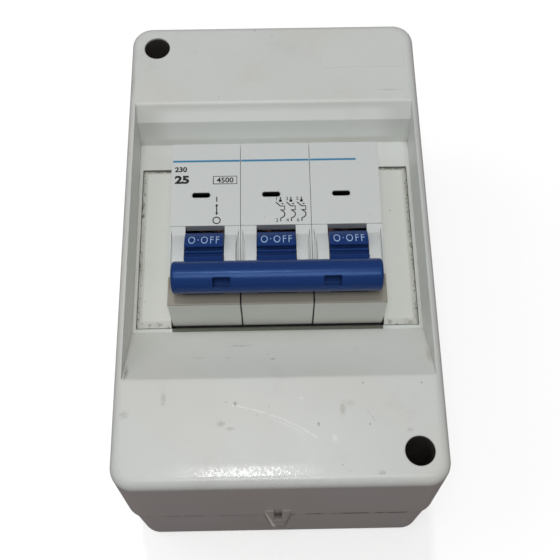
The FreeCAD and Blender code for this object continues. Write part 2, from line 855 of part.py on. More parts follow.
def pole_case(pole):
    body = new_body()
    half_rail = s.rail_width / 2
    seat = half_rail + s.rail_play
    hook_bottom = clip_top - s.lip_thickness
    hook_in = half_rail - s.lip_reach
    label_end = -s.label_drop
    outer = [
        (-case_end, -s.case_tail), (-seat, -s.case_tail), (-seat, 0), (seat, 0),
        (seat, clip_top), (hook_in, clip_top), (hook_in, hook_bottom), (seat, -s.case_tail),
        (case_end, -s.case_tail), (case_end, s.shoulder), (nose_half, s.shoulder),
        (nose_half, s.nose_front), (label_end, s.nose_front),
        (label_end, s.nose_front - s.label_step), (-nose_half, s.nose_front - s.label_step),
        (-nose_half, s.shoulder), (-case_end, s.shoulder),
    ]
    pad(body, "YZ", -case_side, case_side, outer)
    cheek = case_side - s.cheek_inset
    cheek_radius = sweep_radius - s.cheek_sink + s.cheek_drop
    pad(body, "YZ", -cheek, cheek, circle(-s.pivot_drop, pivot_z - s.cheek_drop, cheek_radius * 2))
    cut(body, "YZ", cavity_far, case_side, cavity_loop(as_size(0)))
    opening = s.drum_width / 2 + s.toggle_gap
    lintel = rect(label_end, label_end + s.case_wall,
                  s.nose_front - s.lintel_depth, s.nose_front - s.case_wall / 2)
    pad(body, "YZ", cavity_far - s.side_wall / 2, cavity_near - s.lid_gap, lintel)
    toggle_slot = rect(-opening, opening, -(s.pivot_drop + s.slot_tail), label_end)
    cut(body, "XY", pivot_z, s.nose_front + s.drum_diameter, toggle_slot)
    reach = s.cheek_groove_reach
    straight = reach - s.cheek_groove_taper
    for side in SIDES:
        near = cheek * side
        far = (cheek + s.cheek_groove_width) * side
        groove = [(far, reach - s.pivot_drop), (near, straight - s.pivot_drop),
                  (near, -straight - s.pivot_drop), (far, -reach - s.pivot_drop)]
        face = s.nose_front - s.label_step
        cut(body, "XY", face - s.cheek_groove_depth, face + BEYOND, groove)
    indicator = centred(s.indicator_width, s.indicator_height, s.indicator_corner,
                        u=-s.indicator_offset, v=s.indicator_rise)
    cut(body, "XY", s.nose_front - s.case_wall * 2, s.nose_front + BEYOND, indicator)
    for side in ENDS:
        y = terminal_y * side
        end = case_end * side
        mouth = s.clamp_width / 2 - s.clamp_wall + s.part_gap
        outside = (end, end - s.case_wall * 2 * side)
        low, high = sorted(outside, key=lambda size: size.value)
        wire_mouth = rect(-mouth, mouth, mouth_bottom - s.part_gap, mouth_top)
        cut(body, "XZ", low - BEYOND, high + BEYOND, wire_mouth)
        access = circle(0, y, s.screw_head_diameter + s.part_gap * 2)
        cut(body, "XY", s.shoulder - s.case_wall * 2, s.shoulder + BEYOND, access)
        inner_end = (end - s.case_wall * side / 2, y - s.clamp_depth * side / 2)
        low, high = sorted(inner_end, key=lambda size: size.value)
        shelf = rect(cavity_far - s.side_wall / 2, cavity_near - s.lid_gap, low, high)
        hole = circle(0, y, s.screw_diameter + s.running_gap * 4)
        pad(body, "XY", shelf_bottom, shelf_top, shelf, hole)
    tunnel_floor = clip_top - s.clip_thickness - s.clip_play
    tunnel = rect(-s.clip_width / 2 - s.clip_play, s.clip_width / 2 + s.clip_play,
                  tunnel_floor, clip_top + s.clip_play)
    cut(body, "XZ", -case_end - BEYOND, -half_rail + BEYOND, tunnel)
    pad(body, "XY", tunnel_floor - s.clip_play, 0, circle(0, clip_stop_y, s.clip_stop))
    cut(body, "XY", -s.case_tail - BEYOND, s.case_wall + BEYOND,
        circle(setting_x, setting_y, s.setting_screw + s.running_gap * 2))
    for y, z in rivet_places:
        pad(body, "YZ", cavity_far - s.side_wall / 2, cavity_near - s.lid_gap, circle(y, z, s.rivet_post))
        cut(body, "YZ", -case_side - BEYOND, case_side, circle(y, z, s.rivet_diameter + s.rivet_play * 2))
        cut(body, "YZ", -case_side - BEYOND, -case_side + s.rivet_head_depth + s.rivet_play,
            circle(y, z, s.rivet_head + s.rivet_play * 2))
    for y, z, pin in pin_places():
        cut(body, "YZ", -case_side - BEYOND, cavity_far + BEYOND, circle(y, z, pin + s.running_gap * 2))
    keep(in_pole(body, pole), f"pole_{pole}_case")


def pin_places():
    """The three pins that cross a pole from its case to its lid."""
    return (
        (-s.pivot_drop, pivot_z, s.pin_diameter),
        (-s.arm_pivot_offset, s.arm_pivot_height, s.arm_pin),
        (lever_y, lever_z, s.lever_pin),
    )


def side_lid(pole):
    body = new_body()
    pad(body, "YZ", cavity_near, case_side, cavity_loop(s.lid_gap))
    for y, z in rivet_places:
        shank = circle(y, z, s.rivet_diameter + s.rivet_play * 2)
        cut(body, "YZ", cavity_near - BEYOND, case_side + BEYOND, shank)
        cut(body, "YZ", case_side - s.rivet_head_depth - s.rivet_play, case_side + BEYOND,
            circle(y, z, s.rivet_head + s.rivet_play * 2))
    for y, z, pin in pin_places():
        cut(body, "YZ", cavity_near - BEYOND, case_side + BEYOND, circle(y, z, pin + s.running_gap * 2))
    keep(in_pole(body, pole), f"pole_{pole}_side_lid")


def case_rivets():
    members = []
    end = s.pitch + case_side - s.rivet_play
    for y, z in rivet_places:
        body = new_body()
        pad(body, "YZ", -end, end, circle(0, 0, s.rivet_diameter))
        pad(body, "YZ", -end, -end + s.rivet_head_depth, circle(0, 0, s.rivet_head))
        pad(body, "YZ", end - s.rivet_head_depth, end, circle(0, 0, s.rivet_head))
        members.append(in_pole(body, 2, y, z))
    group("case_rivets", members)


# Toggles -----------------------------------------------------------------------------------

def toggle(pole):
    """Drum with its label bands and lever, drawn upright and tipped back to the off position."""
    body = new_body()
    half = s.drum_width / 2
    beside = half + BEYOND
    band = s.band_diameter / 2 + BEYOND
    pad(body, "YZ", -half, half, circle(0, 0, s.band_diameter))
    cut(body, "YZ", -beside, beside, rect(-band, band, s.band_top, band))
    cut(body, "YZ", -beside, beside, rect(-band, band, -band, s.band_foot))
    pad(body, "YZ", -half, half, circle(0, 0, s.drum_diameter))
    for side in ENDS:
        edges = (s.band_groove_inset * side, (s.band_groove_inset + s.band_groove_width) * side)
        low, high = sorted(edges, key=lambda size: size.value)
        groove = rect(low, high, s.band_top - s.band_groove_depth, band)
        cut(body, "YZ", -beside, beside, groove)
    lever = rect(-s.lever_thickness / 2, s.lever_thickness / 2, 0, s.lever_end)
    pad(body, "YZ", -half, half, lever)
    ledge_edge = s.lever_thickness / 2 + s.ledge_depth
    pad(body, "YZ", -half, half, rect(0, ledge_edge, 0, s.ledge_height))
    foot = rect(ledge_edge, ledge_edge + s.ledge_groove, s.band_top - s.ledge_groove, s.ledge_height)
    cut(body, "YZ", -beside, beside, foot)
    cut(body, "YZ", -beside, beside, circle(0, 0, s.pin_diameter + s.pin_play * 2))
    keep(in_pole(body, pole, -s.pivot_drop, pivot_z, tilt=s.swing / 2), f"toggle_{pole}")


def tie_bar():
    body = new_body()
    half = s.pitch + s.drum_width / 2 + s.bar_overhang
    bar = pad(body, "YZ", -half, half, circle(0, bar_throw, s.bar_diameter))

    def round_end(edge):
        box = edge.BoundBox
        return box.XLength < TOLERANCE and box.YLength > s.bar_diameter.value / 2

    fillet(body, bar, s.bar_round, round_end)
    gap = s.toggle_gap
    for pole in POLES:
        x = pole_x(pole)
        socket = rect(x - s.drum_width / 2 - gap, x + s.drum_width / 2 + gap,
                      -s.lever_thickness / 2 - gap, s.lever_thickness / 2 + gap)
        cut(body, "XY", 0, s.lever_end + gap, socket)
    face = bar_throw + s.bar_diameter / 2
    for side in SIDES:
        window = centred(s.bar_window_width, s.bar_window_height,
                         u=s.bar_window_spacing / 2 * side, v=-s.bar_window_shift)
        cut(body, "XY", face - s.bar_window_depth, face + BEYOND, window)
    keep(in_pole(body, 2, -s.pivot_drop, pivot_z, tilt=s.swing / 2), "tie_bar")


def cross_pin(pole, y, z, diameter):
    body = new_body()
    end = case_side - s.rivet_play
    pad(body, "YZ", -end, end, circle(0, 0, diameter))
    return in_pole(body, pole, y, z)


def spring_coil(pole, y, z, bore, low, high):
    """A close-wound torsion spring about a pin, as a sleeve of its outer shape."""
    body = new_body()
    inner = bore + s.part_gap
    pad(body, "YZ", low, high, circle(0, 0, inner + s.spring_wire * 2), circle(0, 0, inner))
    return in_pole(body, pole, y, z)


# Terminals ---------------------------------------------------------------------------------

def terminal_number(pole, side):
    """Line terminals are odd and load terminals even, as on any three-pole breaker."""
    return pole * 2 - 1 if side > 0 else pole * 2


def terminal(pole, side):
    number = terminal_number(pole, side)
    clamp = new_body()
    half = s.clamp_width / 2
    pad(clamp, "XY", s.clamp_bottom, clamp_top, centred(s.clamp_width, s.clamp_depth))
    hollow = half - s.clamp_wall
    cut(clamp, "XZ", -s.clamp_depth, s.clamp_depth, rect(-hollow, hollow, mouth_bottom, clamp_ceiling))
    thread = circle(0, 0, s.screw_diameter + s.running_gap * 2)
    cut(clamp, "XY", clamp_ceiling - BEYOND, clamp_top + BEYOND, thread)
    keep(in_pole(clamp, pole, terminal_y * side), f"terminal_clamp_{number}")
    length = shelf_top - bar_top
    part = screw(s.screw_diameter, length - s.running_gap, s.screw_head_diameter,
                 s.screw_head_height, s.screw_slot)
    z = shelf_top + s.running_gap * 2
    keep(in_pole(part, pole, terminal_y * side, z), f"terminal_screw_{number}")


# Contacts and release ----------------------------------------------------------------------

def contact_arm(pole):
    body = new_body()
    half = s.arm_width / 2
    pad(body, "YZ", -half, half, circle(0, 0, s.arm_hub))
    side = s.arm_thickness / 2
    pad(body, "YZ", -half, half, rect(-side, side, -s.arm_length - s.contact_diameter / 2, 0))
    pad(body, "XZ", 0, side + s.contact_rise, circle(0, -s.arm_length, s.contact_diameter))
    cut(body, "YZ", -half - BEYOND, half + BEYOND, circle(0, 0, s.arm_pin + s.pin_play * 2))
    keep(in_pole(body, pole, -s.arm_pivot_offset, s.arm_pivot_height), f"contact_arm_{pole}")


def fixed_contact(pole):
    """The strip that carries the fixed contact, under the coil."""
    body = new_body()
    half = s.terminal_bar_width / 2
    face = contact_y + s.arm_length * sine(s.arm_swing) + s.part_gap
    strip_y = face + s.contact_rise
    top = s.coil_height - s.coil_diameter / 2 - s.part_gap
    thick = s.terminal_bar_thickness
    foot = contact_z - s.contact_diameter
    pad(body, "YZ", -half, half, [
        (strip_y, foot), (strip_y + thick, foot), (strip_y + thick, top - thick),
        (coil_start, top - thick), (coil_start, top), (strip_y, top),
    ])
    pad(body, "XZ", face, strip_y + thick / 2, circle(0, contact_z, s.contact_diameter))
    return in_pole(body, pole)


def terminal_bar(pole, side):
    """The copper bar in a terminal's mouth, with a leg down to its release."""
    body = new_body()
    half = s.terminal_bar_width / 2
    thick = s.terminal_bar_thickness
    outer = terminal_y + s.clamp_depth / 2
    if side > 0:
        loop = rect(coil_start + s.coil_length / 2, outer, mouth_top, bar_top)
        pad(body, "YZ", -half, half, loop)
    else:
        pad(body, "YZ", -half, half, [
            (-outer, mouth_top), (leg_y, mouth_top), (leg_y, setting_top), (leg_y + thick, setting_top),
            (leg_y + thick, bar_top), (-outer, bar_top),
        ])
        tab = rect(setting_y - s.setting_screw / 2, leg_y + thick, setting_top, setting_top + thick)
        pad(body, "YZ", half - thick, cavity_near - s.lid_gap * 2, tab)
    return in_pole(body, pole)


def arc_plates(pole):
    members = []
    for index in range(int(s.arc_plate_count.value)):
        low = s.case_wall + s.part_gap + s.arc_plate_pitch * index
        members.append(block(
            (-s.arc_plate_width / 2, s.arc_plate_width / 2),
            (chute_front, chute_front + s.arc_plate_depth),
            (low, low + s.arc_plate_thickness),
            (pole_x(pole), s.breaker_offset, rail_face),
        ))
    return members


def arc_cheeks(pole):
    top = s.case_wall + s.part_gap + s.arc_plate_pitch * (s.arc_plate_count - 1) + s.arc_plate_thickness
    inner = s.arc_plate_width / 2
    members = []
    for side in SIDES:
        x = (inner, inner + s.arc_cheek_thickness)
        if side < 0:
            x = (-inner - s.arc_cheek_thickness, -inner)
        members.append(block(x, (chute_front, chute_front + s.arc_plate_depth), (s.case_wall, top),
                             (pole_x(pole), s.breaker_offset, rail_face)))
    return members


def coil(pole):
    """The release coil: a bobbin tube with the turns of heavy wire round it."""
    body = new_body()
    turns = int(s.coil_length.value / s.coil_wire.value)
    pad(body, "XZ", coil_start, coil_end,
        circle(0, s.coil_height, s.coil_diameter - s.coil_wire), circle(0, s.coil_height, s.coil_bore))
    for index in range(turns):
        low = coil_start + s.coil_wire * index
        inside = circle(0, s.coil_height, s.coil_diameter - s.coil_wire * 2)
        ring = circle(0, s.coil_height, s.coil_diameter)
        pad(body, "XZ", low + s.part_gap, low + s.coil_wire, ring, inside)
    return in_pole(body, pole)


def yoke(pole):
    """The steel frame round the coil, with a hole for the plunger at its front."""
    body = new_body()
    half = s.coil_diameter / 2
    thick = s.yoke_thickness
    low = s.coil_height - s.coil_bore
    top = s.coil_height + half + s.part_gap
    end = coil_end
    pad(body, "YZ", -s.coil_bore, s.coil_bore, [
        (coil_start - thick, low), (coil_start, low), (coil_start, top), (end, top), (end, low),
        (end + thick, low), (end + thick, top + thick), (coil_start - thick, top + thick),
    ])
    hole = circle(0, s.coil_height, s.plunger_diameter + s.part_gap * 2)
    cut(body, "XZ", coil_start - thick - BEYOND, coil_start + BEYOND, hole)
    return in_pole(body, pole)


def plunger(pole):
    """The release core: its shoulder stops on the yoke at the end of the stroke."""
    body = new_body()
    start = coil_start - s.yoke_thickness - s.part_gap
    end = coil_end - s.part_gap
    core = coil_start + s.plunger_travel + s.part_gap
    pad(body, "XZ", start, end, circle(0, s.coil_height, s.plunger_diameter))
    pad(body, "XZ", core, end, circle(0, s.coil_height, s.coil_bore - s.part_gap * 2))
    keep(in_pole(body, pole), f"plunger_{pole}")


def trip_lever(pole):
    """The lever that hangs in front of the plunger and lets the latch go."""
    body = new_body()
    half = s.lever_width / 2
    pad(body, "YZ", -half, half, circle(0, 0, s.lever_pin + s.lever_width))
    arm = s.lever_width / 3
    pad(body, "YZ", -half, half, rect(-arm, arm, s.coil_height - lever_z - s.plunger_diameter / 2, 0))
    cut(body, "YZ", -half - BEYOND, half + BEYOND, circle(0, 0, s.lever_pin + s.pin_play * 2))
    keep(in_pole(body, pole, lever_y, lever_z), f"trip_lever_{pole}")


def bimetal(pole):
    body = new_body()
    half = s.bimetal_width / 2
    foot = setting_top
    start = leg_y + s.terminal_bar_thickness
    strip = start + s.part_gap * 2
    pad(body, "YZ", -half, half, rect(start, strip + s.bimetal_thickness, foot, foot + s.bimetal_width))
    pad(body, "YZ", -half, half, rect(strip, strip + s.bimetal_thickness, foot, foot + s.bimetal_length))
    return in_pole(body, pole)


def setting_screw(pole):
    body = new_body()
    top = setting_top - s.running_gap
    bottom = top - s.setting_screw_length
    pad(body, "XY", bottom, top, circle(0, 0, s.setting_screw))
    slot = centred(s.setting_screw * 2, s.screw_slot / 2)
    cut(body, "XY", bottom - BEYOND, bottom + s.setting_screw / 3, slot)
    return in_pole(body, pole, setting_y, 0, setting_x)


def braid(pole):
    """The flexible braid that hangs between the bimetal and the arm's hub."""
    body = new_body()
    left = leg_y + s.terminal_bar_thickness + s.part_gap * 2 + s.bimetal_thickness
    right = -s.arm_pivot_offset - s.arm_thickness / 2 - s.part_gap
    radius = (right - left - s.braid_diameter) / 2
    turn(body, "XY", 180, circle(0, -radius, s.braid_diameter))
    top = setting_top + s.bimetal_length - s.braid_diameter
    return in_pole(body, pole, (left + right) / 2, top)


def rail_clip(pole):
    body = new_body()
    half = s.clip_width / 2
    low = clip_top - s.clip_thickness
    high = clip_top + s.clip_thickness
    inner = -(s.rail_width / 2 - s.lip_reach)
    outer = -(case_end + s.clip_tail)
    pad(body, "XY", low, clip_top, rect(-half, half, outer, inner))
    pull = rect(-half, half, outer, -(case_end + s.part_gap + s.clip_play))
    pad(body, "XY", low, high, pull)
    grip = centred(s.clip_width / 2, s.clip_tail / 3, v=outer + s.clip_tail / 2)
    cut(body, "XY", low - BEYOND, high + BEYOND, grip)
    reach = s.clip_stop / 2 + s.clip_play
    slot = rect(-reach, reach, clip_stop_y - reach, clip_stop_y + reach + s.clip_travel)
    cut(body, "XY", low - BEYOND, high + BEYOND, slot)
    keep(in_pole(body, pole), f"rail_clip_{pole}")


# The whole breaker -------------------------------------------------------------------------

def build():
    base_box()
    front_cover()
    blanking_plate(-1, "blanking_plate_left")
    blanking_plate(1, "blanking_plate_right")
    cover_screws()
    din_rail()
    rail_screws()
    for pole in POLES:
        pole_case(pole)
        side_lid(pole)
        toggle(pole)
        contact_arm(pole)
        plunger(pole)
        trip_lever(pole)
        rail_clip(pole)
        for side in ENDS:
            terminal(pole, side)
    case_rivets()
    tie_bar()
    drum_side = s.drum_width / 2 + s.toggle_gap
    arm_side = s.arm_width / 2 + s.part_gap
    per_pole("toggle_pins", lambda pole: cross_pin(pole, -s.pivot_drop, pivot_z, s.pin_diameter))
    per_pole("arm_pins", lambda pole: cross_pin(pole, -s.arm_pivot_offset, s.arm_pivot_height, s.arm_pin))
    per_pole("lever_pins", lambda pole: cross_pin(pole, lever_y, lever_z, s.lever_pin))
    per_pole("toggle_springs", lambda pole: spring_coil(
        pole, -s.pivot_drop, pivot_z, s.pin_diameter, drum_side, cavity_near - s.lid_gap))
    per_pole("contact_springs", lambda pole: spring_coil(
        pole, -s.arm_pivot_offset, s.arm_pivot_height, s.arm_pin, arm_side, arm_side + s.spring_wire * 3))
    per_pole("fixed_contacts", fixed_contact)
    per_pole("line_terminal_bars", lambda pole: terminal_bar(pole, 1))
    per_pole("load_terminal_bars", lambda pole: terminal_bar(pole, -1))
    group("arc_plates", [plate for pole in POLES for plate in arc_plates(pole)])
    group("arc_chute_cheeks", [cheek for pole in POLES for cheek in arc_cheeks(pole)])
    per_pole("release_coils", coil)
    per_pole("coil_yokes", yoke)
    per_pole("bimetal_strips", bimetal)
    per_pole("setting_screws", setting_screw)
    per_pole("braids", braid)


def check():
    """Stop if any object failed, or if a pocket or groove took nothing away."""
    for thing in doc.Objects:
        if "Invalid" in thing.State or "Error" in thing.State:
            raise RuntimeError(f"{thing.Name} ({thing.Label}) failed: {thing.State}")
    for body in [item for item in doc.Objects if item.TypeId == "PartDesign::Body"]:
        previous = None
        for feature in body.Group:
            if not feature.isDerivedFrom("PartDesign::Feature"):
                continue
            volume = feature.Shape.Volume
            if re.search("Pocket|Subtractive", feature.TypeId) and volume > previous - 1e-6:
                raise RuntimeError(f"{feature.Name} in {body.Label} cuts nothing")
            previous = volume
    for node in nodes:
        if node.Shape.isNull() or not node.Shape.isValid():
            raise RuntimeError(f"{node.Label} has no valid shape")


def write():
    os.makedirs("parts", exist_ok=True)
    for node in nodes:
        node.Shape.exportStep(os.path.join("parts", node.Label + ".step"))


build()
doc.recompute()
check()
write()
print(len(nodes), "nodes written")
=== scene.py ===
import json
import math

import bmesh
import bpy
from bpy.props import FloatProperty, FloatVectorProperty, PointerProperty
from mathutils import Matrix, Vector


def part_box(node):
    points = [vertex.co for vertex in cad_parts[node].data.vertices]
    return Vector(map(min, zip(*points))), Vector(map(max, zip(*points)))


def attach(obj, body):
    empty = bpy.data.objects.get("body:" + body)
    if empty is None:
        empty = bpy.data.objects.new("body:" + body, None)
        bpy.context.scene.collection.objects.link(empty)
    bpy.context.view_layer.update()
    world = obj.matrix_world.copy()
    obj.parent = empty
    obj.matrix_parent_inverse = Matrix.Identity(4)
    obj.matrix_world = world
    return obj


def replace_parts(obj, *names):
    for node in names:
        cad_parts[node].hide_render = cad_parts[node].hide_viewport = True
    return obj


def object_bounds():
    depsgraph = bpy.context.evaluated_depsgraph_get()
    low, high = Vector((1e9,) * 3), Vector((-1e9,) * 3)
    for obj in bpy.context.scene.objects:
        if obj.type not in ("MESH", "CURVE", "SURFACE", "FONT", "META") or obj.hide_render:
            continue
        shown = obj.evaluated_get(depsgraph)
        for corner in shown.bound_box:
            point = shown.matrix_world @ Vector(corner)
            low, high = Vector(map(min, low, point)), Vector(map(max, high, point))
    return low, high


# The looks of a three-pole circuit breaker in its surface-mounting enclosure.
# The enclosure lies on its back: X runs across, Y towards its upper end, Z out of its front.

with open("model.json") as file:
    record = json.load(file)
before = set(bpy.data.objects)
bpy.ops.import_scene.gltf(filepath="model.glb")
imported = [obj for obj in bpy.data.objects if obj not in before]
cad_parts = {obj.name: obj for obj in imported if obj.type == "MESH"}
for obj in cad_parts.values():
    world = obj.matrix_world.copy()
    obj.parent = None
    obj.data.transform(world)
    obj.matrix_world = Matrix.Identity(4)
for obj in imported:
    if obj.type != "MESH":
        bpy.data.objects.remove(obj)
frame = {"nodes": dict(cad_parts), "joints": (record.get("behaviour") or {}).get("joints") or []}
CAD_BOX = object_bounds()

bl_info = {
    "name": "Enclosed circuit breaker",
    "version": (1, 0, 0),
    "blender": (4, 5, 0),
    "location": "View3D > Sidebar > Breaker",
    "description": "Finishes, print and small parts of a three-pole circuit breaker in its enclosure",
    "category": "Object",
}

MM = 0.001
POLES = (1, 2, 3)
JOINTS = {joint["name"]: joint for joint in frame["joints"]}
PIVOT = Vector(JOINTS["toggle_swing"]["pos_m"])
SWING = math.radians(JOINTS["toggle_swing"]["range_deg"][1])
BAND_RADIUS = 8.9 * MM
LABEL_FACE = PIVOT.z + 5.0 * MM


def pole_x(pole):
    low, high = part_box(f"pole_{pole}_case")
    return (low.x + high.x) / 2


def middle_of(node):
    """The centre of a CAD node seen from the front, in millimetres."""
    low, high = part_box(node)
    return (low.x + high.x) / 2 / MM, (low.y + high.y) / 2 / MM


POLE_PITCH = pole_x(2) - pole_x(1)
COVER_LOW, COVER_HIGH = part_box("front_cover")

# Ends and levels of the enclosure, in millimetres.
COVER_END = COVER_HIGH.y / MM
SEAM = COVER_LOW.z / MM
PLATEAU = COVER_HIGH.z / MM
RECESS_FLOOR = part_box("blanking_plate_right")[1].z / MM

# Places on the enclosure, in millimetres: screw wells, sealing lug, upper slope, sill, worn edge and
# name plate, where the wells, the lug and the sill get painted shade, the lug's edge a painted highlight and
# the upper slope painted light. LUG_LEAN alone is a slope.
WELLS = (middle_of("cover_screw_upper"), middle_of("cover_screw_lower"))
WELL_RADIUS = 3.6
LUG_PROUD = 0.15
LUG_LEAN = 0.3
LUG_EDGE = 2.6
LUG_HIGHLIGHT_HALF = 0.55
SLOPE_FROM = 24.0
SLOPE_HALF = 33.0
SILL_HALF = 26.9
SILL_FOOT = -22.5
POLISH_FROM = -58.5
POLISH_SHIFT = 7.0
NAME_PLATE = ((13.9, 49.5), (36.0, 55.9))
NAME_PLATE_CORNER = 0.7

# Places on the pole cases, in millimetres: indicator slots, nose, shade of the bar and joints.
PITCH = POLE_PITCH / MM
FACE = LABEL_FACE / MM
SLOT = (-1.1, 9.12)
SLOT_HALF = (2.6, 1.1)
NOSE_TOP = -12.0
NOSE_FOOT = -20.75
NOSE_GAP = 55.3
BAR_FOOT = -13.0
JOINT_HALF = 0.2

# Places of the print, in millimetres: the line over the poles, the symbols and their numbers.
STRIPE_LEVEL = 19.1
STRIPE_REACH = 8.75
STRIPE_START = 8.5
STRIPE_END = 3.1
SWITCH_SYMBOL = (-14.93, 1.9)
CIRCUIT_SYMBOL = (1.2, 1.36)
UPPER_NUMBER = (-1.0, 6.45)
LOWER_NUMBER = (-0.95, 0.35)

# Plain numbers: text, height, width, weight and place, in millimetres; the frame goes round the last.
NUMBERS = (("25", 2.4, 3.7, 0.11, (-23.9, 13.7)), ("230", 1.5, 3.1, 0.05, (-24.2, 16.7)),
           ("4500", 1.5, 4.3, 0.03, (-12.85, 13.45)))
NUMBER_FRAME = (6.0, 2.2)

# Thickness of the ink in metres, angle of the OFF lettering, and the width of ON against it.
INK_THICKNESS = 0.04 * MM
OFF_ANGLE = math.radians(25.0)
ON_WIDTH_SHARE = 0.78

# Tones that the finishes mix in: dirt and painted shade at the seam, painted shade and a painted highlight on
# the lug, painted light on the upper slope, painted shade in the wells, on the sill and under the bar, a
# warmer nose, and dirt and painted shade at the blanks' edges.
SEAM_GRIME_AND_SHADE = (0.05, 0.045, 0.04)
LUG_SHADE = (0.66, 0.61, 0.59)
LUG_HIGHLIGHT = (0.98, 0.94, 0.90)
SLOPE_LIGHT = (0.95, 0.97, 0.95)
WELL_SHADE = (0.105, 0.095, 0.085)
SILL_SHADE = (0.115, 0.125, 0.090)
NOSE_WARMTH = (1.0, 0.98, 0.93)
BAR_SHADE = (0.50, 0.455, 0.40)
GAP_GRIME_AND_SHADE = (0.16, 0.155, 0.10)

# Arc scratches on the cover's lower front: centre and radius in millimetres, end angles in radians,
# width in millimetres, strength and paleness.
SCRATCHES = (
    (-17.8, -90.2, 45.3, 0.95, 1.42, 0.26, 0.90, 1.00),
    (-17.8, -90.6, 44.8, 1.02, 1.22, 0.20, 0.50, 1.00),
    (60.0, -20.0, 48.0, -2.55, -2.47, 0.25, 0.45, 0.45),
)

# Spots on the cover: place, half width and half height in millimetres, strength and kind.
SPOTS = (
    (-10.3, -44.9, 0.40, 0.55, 0.56, "grime"), (-12.4, -44.5, 0.25, 0.25, 0.42, "grime"),
    (-27.1, -43.5, 0.70, 1.70, 0.24, "grime"), (-36.1, -47.2, 1.10, 1.00, 0.21, "grime"),
    (-13.6, -49.7, 1.00, 0.70, 0.32, "grime"), (-11.4, -50.9, 1.10, 0.45, 0.28, "grime"),
    (9.0, -50.1, 0.35, 0.45, 0.56, "grime"), (14.7, -46.6, 0.75, 1.60, 0.35, "rust"),
    (16.4, -45.3, 1.40, 0.80, 0.15, "rust"), (12.6, -53.4, 0.65, 1.00, 0.59, "chip"),
    (5.2, -43.9, 0.45, 0.35, 0.56, "chip"), (20.9, -50.3, 0.30, 0.35, 0.42, "grime"),
    (33.5, -40.6, 0.28, 0.28, 0.42, "grime"), (30.0, -51.9, 0.80, 0.55, 0.21, "grime"),
    (19.7, -40.4, 0.35, 0.35, 0.35, "grime"), (23.0, -61.6, 1.00, 0.50, 0.32, "grime"),
    (-14.8, -60.3, 0.35, 0.35, 0.42, "grime"), (-9.4, -27.9, 2.80, 0.22, 0.35, "grime"),
    (-1.4, -32.6, 0.80, 0.35, 0.35, "grime"), (-19.5, -31.9, 1.60, 0.20, 0.21, "grime"),
    (-12.2, -32.1, 0.80, 0.18, 0.28, "grime"), (-36.4, -36.5, 0.50, 2.20, 0.52, "grime"),
    (36.6, -32.0, 0.60, 3.20, 0.28, "rust"), (31.5, 42.0, 3.60, 0.22, 0.24, "grime"),
    (-38.2, 46.0, 0.50, 4.00, 0.21, "rust"), (-5.0, 62.5, 0.50, 0.35, 0.35, "grime"),
)
SPOT_COLOURS = {"grime": (0.13, 0.13, 0.11), "rust": (0.30, 0.25, 0.16), "chip": (1.0, 1.0, 0.98)}

# Soft lights of the stage: name, place and size in metres, and the setting that holds the power.
LIGHTS = (
    ("Key light", (-0.05, 0.30, 1.15), 0.6, "key_power"),
    ("Top light", (-0.05, 0.12, 1.20), 0.4, "top_power"),
    ("Front light", (0.0, -0.30, 1.20), 0.5, "front_power"),
    ("Fill light", (-0.60, 0.10, 0.75), 0.7, "fill_power"),
    ("Glint light", (-0.05, 0.17, 1.20), 0.05, "glint_power"),
)

# Half of the floor's side, and how far it lies under the breaker, in metres.
FLOOR_HALF = 4.0
FLOOR_DROP = 0.05 * MM


# Node trees --------------------------------------------------------------------------------

